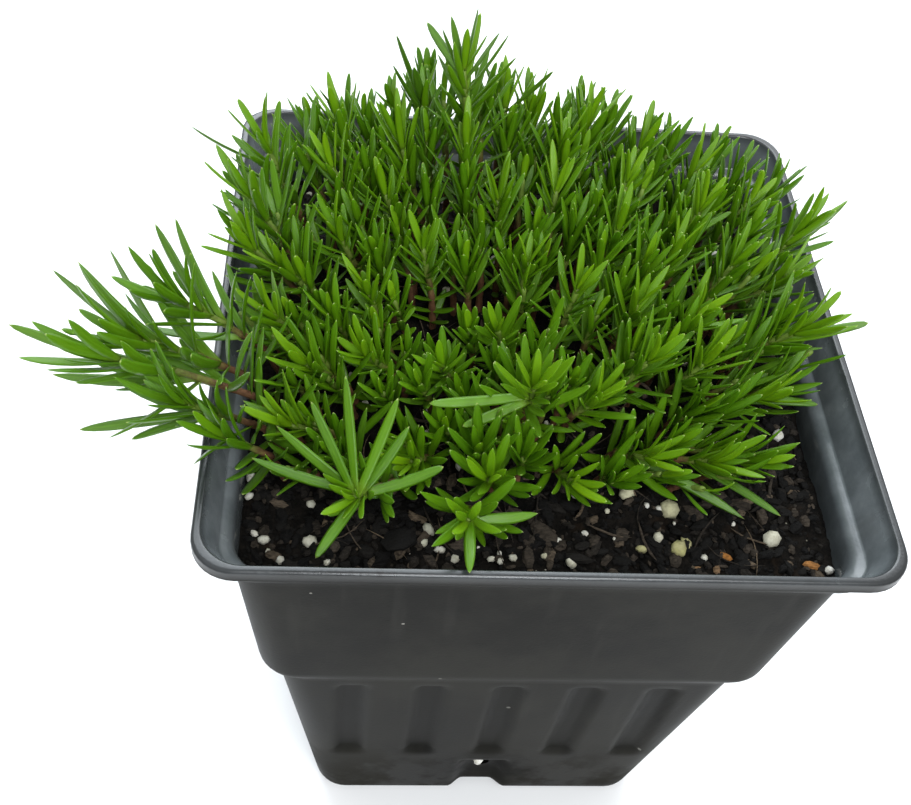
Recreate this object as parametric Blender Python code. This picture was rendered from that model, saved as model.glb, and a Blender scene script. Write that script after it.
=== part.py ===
"""Potted creeping phlox: a square thermoformed nursery pot, the potting mix that fills it, and the
leafy shoots that stand in the mix and spread over the rim.

Metres, +Z up. The origin is the centre of the pot's base, on the surface the pot stands on. The
front wall faces -Y. Every shoot is one object: a tapered stem with its keeled leaves fused to it.
"""

import math

import bmesh
import bpy
import numpy as np
from mathutils import Matrix, Vector

# Driving dimensions of the pot
POT_HEIGHT = 0.1266
RIM_HALF = 0.0570
MOUTH_HALF = 0.0532
MOUTH_TOP_HALF = 0.0555
COLLAR_HALF = 0.0542
COLLAR_TOP_HALF = 0.0556
UPPER_WALL_HALF = 0.0522
SHOULDER_HALF = 0.0490
LOWER_WALL_HALF = 0.0460
FOOT_HALF = 0.0385
WALL = 0.0010
CORNER_RADIUS = 0.0070
CORNER_STEPS = 4
COLLAR_Z = 0.1186
COLLAR_LEDGE = (0.0010, 0.0006)
SKIRT_DROP = 0.0027
SKIRT_EDGE = 0.0004
LIP_RADIUS = 0.0006
LIP_STEPS = 2
MOUTH_FLARE = 0.0004
SHOULDER_Z = 0.0779
FOOT_RADIUS = 0.0035
FOOT_STEPS = 2

# The shoulder's S-curve: how far out from the lower wall and up from SHOULDER_Z its points are
SHOULDER_CURVE = (
    (0.0, -0.0075), (0.0004, -0.0053), (0.0019, -0.0030), (0.0027, -0.0009), (0.0030, 0.0011),
)

# Where the inner form's first point lies from the outer one's: in and up, as shares of the wall
BASE_INSET = (-0.4, 1.0)

# Flutes and drain holes in the lower wall
FLUTE_PITCH = 0.0155
FLUTE_WIDTH = 0.0072
FLUTE_DEPTH = 0.0013
FLUTE_SPAN = (0.0275, 0.0683)
DRAIN_RECESS_WIDTH = 0.0130
DRAIN_RECESS_DEPTH = 0.0022
DRAIN_RECESS_SPAN = (-0.0060, 0.0225)
FLANK_SLOPE = 1.3
DRAIN_HOLE_HALF_WIDTH = 0.0019
DRAIN_HOLE_SPAN = (0.0148, 0.0203)
DRAIN_HOLE_SIDES = 8
DRAIN_HOLE_REACH = (0.0120, -0.0060)
BASE_HOLE_RADIUS = 0.0040
BASE_HOLE_SIDES = 8
BASE_HOLE_DEPTH = 0.0100
BASE_HOLE_OFFSET = 0.0250

# Potting mix, and the room left round it and round each stem
GAP = 0.0003
SOIL_Z = 0.1131
SOIL_CROWN = 0.0020
SOIL_RELIEF = 0.0007
SOIL_ROUGHNESS = 0.0004
SOIL_CELLS = 17
SOIL_BLOCK_MARGIN = 0.0020
SOIL_BLOCK_BOTTOM = -0.0100
SOIL_HOLE_SIDES = 5
SOIL_HOLE_OVERRUN = 0.0040
SHOULDER_FILL = (0.0060, 0.0030)
COLLAR_FILL = 0.0005
FILL_OVERRUN = 0.0100
SOIL_SEED = 11

# Waves of the mix's surface: turns across X and Y in radians a metre, and where each begins
CROSS_WAVE = (410.0, 350.0)
CROSS_PHASE = (1.3, -0.4)
SLANT_WAVE = (190.0, 260.0)
SLANT_PHASE = 2.1
SLANT_SHARE = 0.7

# Perlite grains and bark chips that stand out of the mix: half lengths, and width and height as
# shares of them, how far their middle stands up, how they tilt and the room round them
GRAINS = 20
GRAIN_SIZE = (0.0009, 0.0021)
GRAIN_FORM = (0.85, 0.75)
CHIPS = 9
CHIP_SIZE = (0.0022, 0.0042)
CHIP_FORM = (0.50, 0.30)
GRAIN_STAND = 0.35
GRAIN_TILT = 0.25
GRAIN_TRIES = 60
GRAIN_TO_STEM = 0.0012
GRAIN_TO_WALL = 0.0015
GRAIN_TO_GRAIN = 0.0004

# Stems: their size, where they may root, and the curve from root to tip, whose handles are shares
# of the way up and of the way out
STEM_BASE_RADIUS = 0.00085
STEM_TIP_RADIUS = 0.00068
STEM_POINTS = 4
STEM_FINE_POINTS = 24
STEM_DEPTH = 0.0060
STEM_TRIES = 200
ROOT_PULL = 0.78
ROOT_REACH = 0.0440
ROOT_SPACING = 0.0036
ROOT_SPREAD = 0.0020
ROOT_SPREAD_STEP = 0.00006
LEAST_RISE = 0.0030
FIRST_HANDLE = (0.55, 0.12)
LAST_HANDLE = (0.40, 0.30)
FLAT_LEAN = 0.0450
LEAST_UPRIGHT = 0.50

# Leaves: sizes, how far each half of a leaf turns up towards the light, then for each pair from the
# tip down its angle to the stem in degrees and its length as a share of the shoot's leaf length
LEAF_WIDTH_RATIO = 0.130
LEAF_WIDTH_RANGE = (0.00155, 0.00200)
LONG_LEAF_WIDTH = 0.00195
LEAF_THICKNESS = 0.00070
LEAF_BASE_WIDTH = 0.00075
BEND_AT = 0.5
THREE_QUARTERS = 0.27
BUD_SHARE = 0.45
LEAF_RISE = ((0.0, 0.0, 0.15), (0.0, 0.0, 0.50))
PAIR_ANGLES = (22, 34, 46, 56, 64, 70)
PAIR_LENGTHS = (0.74, 0.92, 1.0, 0.98, 0.92, 0.85)
PAIR_PITCH = 0.25
FIRST_PAIR_BACK = 0.0007
LEAST_PAIRS = 4
FIVE_PAIRS_FROM = 0.0142
SIX_PAIRS_FROM = 0.0162

# How freely a leaf is drawn, and the room that it keeps
LEAF_TRIES = 26
SHORT_FROM_TRY = 14
SHORT_SHARE = 0.78
SWING = 0.12
SWING_STEP = 0.035
TILT = 0.10
TILT_PER_SWING = 0.3
LEAST_TILT = 0.12
SIZE_RANGE = (0.88, 1.10)
CURL_RANGE = (0.02, 0.16)
LEAF_ROOM = (0.5, 0.5, 0.3)
OWN_ROOT_SHARE = 0.4
OWN_SHARE = 0.55
CLEARANCE = 0.00035
LEDGE_CLEARANCE = 0.0020
SOIL_CLEARANCE = 0.0006
STEM_FREE_FROM = 0.0025
PLANT_CORNER = 0.0110
PLANT_SEED = 7

# Each shoot: where its tip stands (x, y, height above the rim) and how long its leaves are
SHOOTS = (
    (-0.0140, 0.0380, 0.0253, 0.0150),
    (-0.0250, 0.0310, 0.0122, 0.0145),
    (-0.0370, 0.0400, 0.0102, 0.0130),
    (0.0010, 0.0450, 0.0103, 0.0140),
    (0.0120, 0.0410, 0.0123, 0.0135),
    (0.0230, 0.0380, 0.0094, 0.0130),
    (0.0340, 0.0340, 0.0074, 0.0125),
    (0.0440, 0.0270, 0.0055, 0.0125),
    (0.0520, 0.0180, 0.0065, 0.0140),
    (-0.0380, 0.0260, 0.0102, 0.0130),
    (-0.0279, 0.0190, 0.0102, 0.0120),
    (-0.0130, 0.0280, 0.0153, 0.0130),
    (0.0060, 0.0320, 0.0134, 0.0130),
    (0.0190, 0.0270, 0.0094, 0.0120),
    (-0.0069, 0.0190, 0.0103, 0.0125),
    (0.0041, 0.0210, 0.0114, 0.0125),
    (0.0330, 0.0220, 0.0075, 0.0125),
    (0.0151, 0.0120, 0.0104, 0.0125),
    (0.0261, 0.0100, 0.0075, 0.0120),
    (0.0371, 0.0080, 0.0065, 0.0125),
    (0.0471, 0.0070, 0.0045, 0.0130),
    (-0.0500, 0.0260, 0.0142, 0.0150),
    (-0.0520, 0.0130, 0.0132, 0.0155),
    (-0.0369, 0.0100, 0.0092, 0.0120),
    (-0.0460, 0.0010, 0.0081, 0.0130),
    (-0.0470, -0.0090, 0.0061, 0.0130),
    (-0.0409, -0.0180, 0.0040, 0.0130),
    (-0.0670, -0.0220, 0.0127, 0.0200),
    (-0.0617, -0.0140, 0.0138, 0.0190),
    (-0.0592, -0.0310, 0.0078, 0.0190),
    (-0.0698, -0.0280, 0.0147, 0.0198),
    (-0.0510, 0.0030, 0.0101, 0.0160),
    (-0.0429, -0.0290, 0.0009, 0.0135),
    (-0.0209, 0.0080, 0.0073, 0.0110),
    (-0.0045, 0.0435, 0.0133, 0.0135),
    (-0.0019, 0.0050, 0.0073, 0.0110),
    (0.0062, -0.0030, 0.0094, 0.0115),
    (-0.0309, -0.0020, 0.0062, 0.0110),
    (-0.0210, 0.0410, 0.0152, 0.0135),
    (-0.0309, -0.0140, 0.0021, 0.0105),
    (-0.0078, -0.0090, 0.0043, 0.0100),
    (-0.0178, -0.0160, 0.0022, 0.0100),
    (0.0172, -0.0040, 0.0074, 0.0120),
    (0.0282, -0.0040, 0.0054, 0.0125),
    (0.0173, -0.0180, 0.0074, 0.0140),
    (0.0283, -0.0150, 0.0044, 0.0135),
    (0.0472, -0.0060, 0.0035, 0.0160),
    (0.0403, -0.0170, -0.0025, 0.0135),
    (-0.0037, -0.0280, 0.0112, 0.0155),
    (0.0083, -0.0240, 0.0043, 0.0130),
    (0.0174, -0.0310, -0.0028, 0.0130),
    (0.0294, -0.0300, -0.0047, 0.0140),
    (0.0044, -0.0350, -0.0049, 0.0120),
    (-0.0107, -0.0400, 0.0020, 0.0140),
    (-0.0142, -0.0470, 0.0008, 0.0130),
    (-0.0228, -0.0330, -0.0030, 0.0120),
    (-0.0323, -0.0425, -0.0002, 0.0105),
)

# Long single leaves: which shoot, how far back from its tip, where the leaf's tip lies (x, y, height
# above the rim) and how far its middle sags, as a share of its length
LONG_LEAVES = (
    (31, 0.0110, -0.0884, -0.0180, 0.0108, 0.04),
    (31, 0.0150, -0.0813, -0.0240, 0.0058, 0.05),
    (30, 0.0060, -0.0763, -0.0320, 0.0017, 0.00),
    (30, 0.0080, -0.0672, -0.0360, 0.0047, -0.05),
    (29, 0.0060, -0.0657, -0.0050, 0.0221, 0.04),
    (28, 0.0050, -0.0737, -0.0050, 0.0161, 0.04),
    (28, 0.0010, -0.0804, -0.0150, 0.0205, 0.04),
    (57, 0.0036, -0.0485, -0.0382, 0.0038, 0.06),
    (57, 0.0018, -0.0447, -0.0345, 0.0074, 0.03),
    (57, 0.0004, -0.0393, -0.0335, 0.0124, 0.00),
    (57, 0.0008, -0.0341, -0.0293, 0.0140, 0.02),
    (57, 0.0012, -0.0257, -0.0310, 0.0110, 0.03),
    (57, 0.0022, -0.0237, -0.0335, 0.0070, 0.04),
    (57, 0.0030, -0.0181, -0.0390, 0.0039, 0.06),
    (57, 0.0030, -0.0379, -0.0513, -0.0045, -0.04),
    (55, 0.0010, -0.0146, -0.0580, 0.0027, -0.08),
    (55, 0.0020, -0.0030, -0.0455, 0.0009, 0.08),
    (49, 0.0040, -0.0203, -0.0270, 0.0051, 0.03),
    (49, 0.0062, -0.0147, -0.0300, 0.0031, 0.03),
    (1, 0.0004, -0.0123, 0.0410, 0.0364, 0.00),
    (1, 0.0016, -0.0170, 0.0420, 0.0337, 0.02),
    (1, 0.0030, -0.0188, 0.0375, 0.0339, 0.02),
    (1, 0.0020, -0.0211, 0.0460, 0.0295, 0.02),
    (1, 0.0026, -0.0078, 0.0405, 0.0319, 0.02),
    (1, 0.0052, -0.0063, 0.0385, 0.0329, 0.02),
    (1, 0.0085, -0.0059, 0.0410, 0.0235, 0.02),
    (1, 0.0075, -0.0189, 0.0415, 0.0258, 0.02),
    (39, 0.0006, -0.0268, 0.0415, 0.0293, 0.02),
    (39, 0.0004, -0.0235, 0.0350, 0.0271, 0.02),
    (39, 0.0030, -0.0272, 0.0400, 0.0238, 0.02),
    (35, 0.0012, 0.0036, 0.0420, 0.0231, 0.03),
    (22, 0.0040, -0.0626, 0.0200, 0.0227, 0.06),
    (47, 0.0060, 0.0602, -0.0050, 0.0056, 0.00),
    (9, 0.0080, 0.0610, 0.0220, 0.0116, 0.06),
    (48, 0.0050, 0.0503, -0.0180, -0.0025, -0.05),
    (52, 0.0060, 0.0405, -0.0390, -0.0075, -0.04),
    (51, 0.0060, 0.0345, -0.0390, -0.0087, -0.04),
)

COLLECTION = "potted_creeping_phlox"


def clear_scene():
    for obj in list(bpy.data.objects):
        bpy.data.objects.remove(obj, do_unlink=True)


def new_collection(name):
    collection = bpy.data.collections.new(name)
    bpy.context.scene.collection.children.link(collection)
    return collection


def material(name, colour, roughness):
    finish = bpy.data.materials.new(name)
    finish.use_nodes = True
    shader = finish.node_tree.nodes["Principled BSDF"]
    shader.inputs["Base Color"].default_value = (*colour, 1.0)
    shader.inputs["Roughness"].default_value = roughness
    shader.inputs["Metallic"].default_value = 0.0
    return finish


def object_from_bmesh(name, shape, collection, finish=None):
    """Puts a closed bmesh, its normals made to point out, into a new object of the collection."""
    bmesh.ops.recalc_face_normals(shape, faces=shape.faces)
    mesh = bpy.data.meshes.new(name)
    shape.to_mesh(mesh)
    shape.free()
    if finish:
        mesh.materials.append(finish)
    obj = bpy.data.objects.new(name, mesh)
    collection.objects.link(obj)
    return obj


def combine(target, operation, tools):
    """Applies one Boolean with every object of the collection `tools`, then removes those objects."""
    modifier = target.modifiers.new(operation.lower(), "BOOLEAN")
    modifier.operation = operation
    modifier.solver = "EXACT"
    modifier.operand_type = "COLLECTION"
    modifier.collection = tools
    graph = bpy.context.evaluated_depsgraph_get()
    result = bpy.data.meshes.new_from_object(target.evaluated_get(graph))
    target.modifiers.remove(modifier)
    target.data = result
    for tool in list(tools.objects):
        bpy.data.objects.remove(tool, do_unlink=True)
    bpy.data.collections.remove(tools)


def square_ring(half, corner, z):
    """Points round a square with rounded corners, anticlockwise seen from above."""
    ring = []
    for quarter in range(4):
        for step in range(CORNER_STEPS + 1):
            angle = (quarter + step / CORNER_STEPS) * math.pi / 2
            centre = (quarter + 0.5) * math.pi / 2
            x = math.copysign(half - corner, math.cos(centre)) + corner * math.cos(angle)
            y = math.copysign(half - corner, math.sin(centre)) + corner * math.sin(angle)
            ring.append(Vector((x, y, z)))
    return ring


def loft(profile, inset=0.0):
    """A closed solid through a rounded square at each (half width, height) of the profile."""
    shape = bmesh.new()
    rings = [
        [shape.verts.new(point) for point in square_ring(half, CORNER_RADIUS - inset, z)]
        for half, z in profile
    ]
    for low, high in zip(rings, rings[1:]):
        for i in range(len(low)):
            j = (i + 1) % len(low)
            shape.faces.new((low[i], low[j], high[j], high[i]))
    shape.faces.new(rings[0][::-1])
    shape.faces.new(rings[-1])
    return shape


def arc(centre, radius, start, end, steps):
    """(half width, height) points on an arc, with its angles in degrees from +X towards +Z."""
    angles = [math.radians(start + (end - start) * i / steps) for i in range(steps + 1)]
    return [(centre[0] + radius * math.cos(a), centre[1] + radius * math.sin(a)) for a in angles]


def wall_profile():
    """The outer side of the pot's wall from the foot up to the collar."""
    foot = arc((FOOT_HALF - FOOT_RADIUS, FOOT_RADIUS), FOOT_RADIUS, -90, -6, FOOT_STEPS)
    shoulder = [(LOWER_WALL_HALF + out, SHOULDER_Z + up) for out, up in SHOULDER_CURVE]
    below, above = COLLAR_LEDGE
    collar = [(UPPER_WALL_HALF, COLLAR_Z - below), (COLLAR_HALF, COLLAR_Z + above)]
    return foot + shoulder + collar


def lip_profile():
    """The collar's upper end and the lip, whose edge stands out past the collar."""
    skirt_z = POT_HEIGHT - SKIRT_DROP
    skirt = [(COLLAR_TOP_HALF, skirt_z), (RIM_HALF - SKIRT_EDGE / 2, skirt_z + SKIRT_EDGE)]
    roll = arc((RIM_HALF - LIP_RADIUS, POT_HEIGHT - LIP_RADIUS), LIP_RADIUS, -20, 90, LIP_STEPS)
    return skirt + roll + [(MOUTH_HALF, POT_HEIGHT)]


def inset_profile(profile, distance):
    """The profile moved inwards by a distance, square to the line through each point's neighbours."""
    points = np.array(profile)
    run = np.gradient(points, axis=0)
    run /= np.linalg.norm(run, axis=1)[:, None]
    inward = np.stack([-run[:, 1], run[:, 0]], axis=1)
    inward[0] = BASE_INSET
    moved = points + distance * inward
    moved[:, 1] = np.maximum.accumulate(moved[:, 1])
    return [tuple(point) for point in moved]


def make_hull(shape):
    """Replaces a shape's faces with the convex hull of its points."""
    bmesh.ops.delete(shape, geom=shape.edges, context="EDGES_FACES")
    bmesh.ops.convex_hull(shape, input=shape.verts)
    loose = [vert for vert in shape.verts if not vert.link_faces]
    bmesh.ops.delete(shape, geom=loose)


def wall_half_at(z):
    """Half width of the outer wall at a height."""
    profile = np.array(wall_profile())
    return float(np.interp(z, profile[:, 1], profile[:, 0]))


def groove(width, depth, span, x, turn, grow):
    """A block with sloping flanks and ends that cuts a groove this wide and deep into the wall.
    `grow` moves its every side outwards, so that the wall left between two of them is even."""
    shape = bmesh.new()
    flank = grow * math.hypot(1.0, FLANK_SLOPE)
    for z, end in zip(span, (-1, 1)):
        for offset in (depth, -depth - grow):
            spread = FLANK_SLOPE * offset + flank
            for side in (-1, 1):
                across = x + side * (width / 2 + spread)
                shape.verts.new((across, -(wall_half_at(z) + offset), z + end * spread))
    make_hull(shape)
    bmesh.ops.rotate(shape, verts=shape.verts, matrix=Matrix.Rotation(turn, 3, "Z"))
    return shape


def groove_tools(name, grow, with_flutes=True):
    """The flutes and the drain recess of all four walls, as one collection of blocks."""
    tools = new_collection(name)
    for side in range(4):
        turn = side * math.pi / 2
        recess = groove(
            DRAIN_RECESS_WIDTH, DRAIN_RECESS_DEPTH, DRAIN_RECESS_SPAN, 0.0, turn, grow
        )
        object_from_bmesh(f"{name}_recess_{side}", recess, tools)
        for i in range(-2, 3) if with_flutes else ():
            flute = groove(FLUTE_WIDTH, FLUTE_DEPTH, FLUTE_SPAN, i * FLUTE_PITCH, turn, grow)
            object_from_bmesh(f"{name}_flute_{side}_{i}", flute, tools)
    return tools


def drain_tools():
    """An oval hole through the foot of each wall, and four round ones through the base."""
    tools = new_collection("drain_holes")
    for side in range(4):
        shape = bmesh.new()
        for reach in DRAIN_HOLE_REACH:
            for z in DRAIN_HOLE_SPAN:
                place = Matrix.Translation((0.0, reach - FOOT_HALF, z))
                place = place @ Matrix.Rotation(math.pi / 2, 4, "X")
                bmesh.ops.create_circle(
                    shape, segments=DRAIN_HOLE_SIDES, radius=DRAIN_HOLE_HALF_WIDTH, matrix=place
                )
        make_hull(shape)
        turn = Matrix.Rotation(side * math.pi / 2, 3, "Z")
        bmesh.ops.rotate(shape, verts=shape.verts, matrix=turn)
        object_from_bmesh(f"drain_{side}", shape, tools)

        corner = (side + 0.5) * math.pi / 2
        reach_xy = BASE_HOLE_OFFSET * math.sqrt(2)
        hole = bmesh.new()
        place = Matrix.Translation((reach_xy * math.cos(corner), reach_xy * math.sin(corner), 0.0))
        bmesh.ops.create_cone(
            hole, cap_ends=True, segments=BASE_HOLE_SIDES, radius1=BASE_HOLE_RADIUS,
            radius2=BASE_HOLE_RADIUS, depth=BASE_HOLE_DEPTH, matrix=place,
        )
        object_from_bmesh(f"base_hole_{side}", hole, tools)
    return tools


def make_pot(collection):
    """The pot: its outer form less its inner form, both grooved, so that the wall stays even."""
    finish = material("pot_plastic", (0.045, 0.047, 0.046), 0.42)
    outer = wall_profile() + lip_profile()
    pot = object_from_bmesh("pot", loft(outer), collection, finish)
    combine(pot, "DIFFERENCE", groove_tools("outer_grooves", 0.0))

    hollow = new_collection("hollow")
    mouth = [
        (MOUTH_TOP_HALF, POT_HEIGHT - MOUTH_FLARE),
        (MOUTH_TOP_HALF + MOUTH_FLARE, POT_HEIGHT + MOUTH_FLARE),
    ]
    inner = inset_profile(wall_profile(), WALL) + mouth
    cavity = object_from_bmesh("cavity", loft(inner, WALL), hollow)
    combine(cavity, "DIFFERENCE", groove_tools("inner_grooves", WALL))
    combine(pot, "DIFFERENCE", hollow)
    combine(pot, "DIFFERENCE", drain_tools())
    pot.data.shade_smooth()
    pot.data.set_sharp_from_angle(angle=math.radians(40))
    return pot


def soil_height(x, y):
    """Height of the mix's surface: a low crown under the plant, with gentle waves over it."""
    far = np.clip((x * x + y * y) / MOUTH_HALF**2, 0, 1)
    cross = np.sin(x * CROSS_WAVE[0] + CROSS_PHASE[0]) * np.cos(y * CROSS_WAVE[1] + CROSS_PHASE[1])
    slant = np.sin(x * SLANT_WAVE[0] - y * SLANT_WAVE[1] + SLANT_PHASE)
    return SOIL_Z + SOIL_CROWN * (1 - far) + SOIL_RELIEF * (cross + SLANT_SHARE * slant)


def soil_relief_block(draw, collection):
    """A block whose top is a grid raised to the surface's height, with a little random roughness."""
    shape = bmesh.new()
    size = RIM_HALF + SOIL_BLOCK_MARGIN
    bmesh.ops.create_grid(shape, x_segments=SOIL_CELLS, y_segments=SOIL_CELLS, size=size)
    for vert in shape.verts:
        rough = SOIL_ROUGHNESS * draw.uniform(-1, 1)
        vert.co.z = soil_height(vert.co.x, vert.co.y) + rough
    top = list(shape.faces)
    sides = bmesh.ops.extrude_face_region(shape, geom=top)
    for vert in (v for v in sides["geom"] if isinstance(v, bmesh.types.BMVert)):
        vert.co.z = SOIL_BLOCK_BOTTOM
    return object_from_bmesh("relief_block", shape, collection)


def grain_list(stems):
    """Places, sizes and turns of the perlite grains and bark chips that stand out of the mix.
    Each is drawn again until it is clear of the others, of the stems and of the wall."""
    draw = np.random.default_rng(SOIL_SEED)
    grains = []
    taken = [(x, y, STEM_BASE_RADIUS + GRAIN_TO_STEM) for x, y in stems]
    kinds = [("grain", GRAIN_SIZE, GRAIN_FORM)] * GRAINS + [("chip", CHIP_SIZE, CHIP_FORM)] * CHIPS
    for kind, sizes, (wide, high) in kinds:
        for _ in range(GRAIN_TRIES):
            x, y = draw.uniform(-MOUTH_HALF, MOUTH_HALF, 2)
            turn = draw.uniform(0, math.pi)
            size = draw.uniform(*sizes)
            off_wall = square_distance(x, y, UPPER_WALL_HALF - WALL, PLANT_CORNER) < -(size + GRAIN_TO_WALL)
            room = size + GRAIN_TO_GRAIN
            if off_wall and all(math.hypot(x - u, y - v) > room + r for u, v, r in taken):
                grains.append((kind, x, y, turn, (size, size * wide, size * high)))
                taken.append((x, y, size))
                break
    return grains


def grain_tools(stems):
    tools = new_collection("grains")
    for i, (kind, x, y, turn, size) in enumerate(grain_list(stems)):
        middle = soil_height(x, y) + size[2] * GRAIN_STAND - SOIL_ROUGHNESS
        place = Matrix.Translation((x, y, middle))
        place = place @ Matrix.Rotation(turn, 4, "Z") @ Matrix.Rotation(GRAIN_TILT, 4, "X")
        place = place @ Matrix.Diagonal((*size, 1.0))
        shape = bmesh.new()
        if kind == "grain":
            bmesh.ops.create_icosphere(shape, subdivisions=1, radius=1.0, matrix=place)
        else:
            bmesh.ops.create_cube(shape, size=2.0, matrix=place)
        object_from_bmesh(f"{kind}_{i}", shape, tools)
    return tools


def make_soil(collection, stems):
    """The mix, clear of the wall all round, with a plain hole for each stem."""
    finish = material("potting_mix", (0.028, 0.021, 0.016), 0.95)
    draw = np.random.default_rng(SOIL_SEED + 1)
    lining = WALL + GAP
    narrow = lining + FLUTE_DEPTH
    fill = [
        (FOOT_HALF - FOOT_RADIUS - narrow, lining),
        (FOOT_HALF - narrow, FOOT_RADIUS + lining),
        (LOWER_WALL_HALF - narrow, SHOULDER_Z - SHOULDER_FILL[0]),
        (SHOULDER_HALF - lining, SHOULDER_Z + SHOULDER_FILL[1]),
        (UPPER_WALL_HALF - lining, COLLAR_Z - COLLAR_FILL),
        (UPPER_WALL_HALF - lining, POT_HEIGHT + FILL_OVERRUN),
    ]
    soil = object_from_bmesh("potting_mix", loft(fill, lining), collection, finish)
    combine(soil, "DIFFERENCE", groove_tools("soil_recess", lining, with_flutes=False))
    block = new_collection("relief")
    soil_relief_block(draw, block)
    combine(soil, "INTERSECT", block)
    combine(soil, "UNION", grain_tools(stems))

    holes = new_collection("stem_holes")
    radius = (STEM_BASE_RADIUS + GAP) / math.cos(math.pi / SOIL_HOLE_SIDES)
    depth = STEM_DEPTH + GAP + SOIL_HOLE_OVERRUN
    for i, (x, y) in enumerate(stems):
        hole = bmesh.new()
        place = Matrix.Translation((x, y, SOIL_Z - STEM_DEPTH - GAP + depth / 2))
        bmesh.ops.create_cone(
            hole, cap_ends=True, segments=SOIL_HOLE_SIDES, radius1=radius, radius2=radius,
            depth=depth, matrix=place,
        )
        object_from_bmesh(f"stem_hole_{i}", hole, holes)
    combine(soil, "DIFFERENCE", holes)
    return soil


def unit(vector):
    return vector / np.linalg.norm(vector)


def segment_gaps(a0, a1, b0, b1):
    """Shortest distance from segment a to each segment b: the nearest points of the two lines,
    each held between its own ends."""
    along_a = a1 - a0
    along_b = b1 - b0
    offset = a0 - b0
    aa = along_a @ along_a
    bb = (along_b * along_b).sum(1)
    ab = along_b @ along_a
    ao = offset @ along_a
    bo = (along_b * offset).sum(1)
    spread = np.maximum(aa * bb - ab * ab, 1e-18)
    s = np.clip((ab * bo - ao * bb) / spread, 0, 1)
    t = np.clip((ab * s + bo) / bb, 0, 1)
    s = np.clip((t * ab - ao) / aa, 0, 1)
    nearest = a0 + s[:, None] * along_a - (b0 + t[:, None] * along_b)
    return np.linalg.norm(nearest, axis=1)


def square_distance(x, y, half, corner):
    """Signed distance from the outline of a rounded square, negative inside."""
    dx = np.abs(x) - (half - corner)
    dy = np.abs(y) - (half - corner)
    outside = np.hypot(np.maximum(dx, 0), np.maximum(dy, 0))
    return outside + np.minimum(np.maximum(dx, dy), 0) - corner


def clears_pot(points, radius):
    """True where every point, given this much room, misses the wall, the lip and the mix."""
    x, y, z = points.T
    room = radius + CLEARANCE
    over = z > POT_HEIGHT + room
    mouth = np.where(z > COLLAR_Z + LEDGE_CLEARANCE, MOUTH_HALF, UPPER_WALL_HALF - WALL)
    inside = square_distance(x, y, mouth, PLANT_CORNER) < -room
    outside = square_distance(x, y, RIM_HALF, CORNER_RADIUS) > room
    above = z > soil_height(x, y) + SOIL_ROUGHNESS + room + SOIL_CLEARANCE
    return bool((outside | ((over | inside) & above)).all())


class Thicket:
    """The stems and leaves placed so far, as capsules, so that a new one can be tested."""

    def __init__(self):
        self.low = np.zeros((0, 3))
        self.free = np.zeros((0, 3))
        self.high = np.zeros((0, 3))
        self.radius = np.zeros(0)
        self.owner = np.zeros(0, int)
        self.blade = np.zeros(0, bool)

    def touches(self, path, radii, low, which, share, room):
        if not which.any():
            return False
        low, high, radius = low[which], self.high[which], self.radius[which]
        return any(
            (segment_gaps(a0, a1, low, high) < share * (radius + r) + room).any()
            for a0, a1, r in zip(path, path[1:], radii)
        )

    def clear(self, path, radii, owner, blade=False):
        """True where the path misses every other shoot and, for a leaf, the free part of the
        leaves on its own shoot, which may come closer because their flat sides face."""
        if self.touches(path, radii, self.low, self.owner != owner, 1.0, CLEARANCE):
            return False
        own = (self.owner == owner) & self.blade & blade
        return not self.touches(free_part(path), radii, self.free, own, OWN_SHARE, 0.0)

    def add(self, path, radii, owner, blade=False):
        self.low = np.vstack([self.low, path[:-1]])
        self.free = np.vstack([self.free, free_part(path)[:-1]])
        self.high = np.vstack([self.high, path[1:]])
        self.radius = np.append(self.radius, radii)
        self.owner = np.append(self.owner, np.full(len(radii), owner))
        self.blade = np.append(self.blade, np.full(len(radii), blade))


def free_part(path):
    """The path of a leaf without the stretch next to its stem."""
    return np.vstack([path[0] + OWN_ROOT_SHARE * (path[1] - path[0]), path[1:]])


def stem_path(root, tip, count):
    """Points on a cubic curve that rises from the mix, leans out and ends at the shoot's tip. The
    further a shoot leans, the flatter it arrives there."""
    rise = max(tip[2] - root[2], LEAST_RISE)
    up = np.array([0.0, 0.0, rise])
    lean = np.array([tip[0] - root[0], tip[1] - root[1], 0.0])
    upright = np.clip(1 - np.hypot(*lean[:2]) / FLAT_LEAN, LEAST_UPRIGHT, 1)
    first = root + FIRST_HANDLE[0] * up + FIRST_HANDLE[1] * lean
    last = tip - LAST_HANDLE[0] * upright * up - LAST_HANDLE[1] * lean
    t = np.linspace(0, 1, count)[:, None]
    return (
        (1 - t) ** 3 * root + 3 * (1 - t) ** 2 * t * first + 3 * (1 - t) * t**2 * last + t**3 * tip
    )


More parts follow.
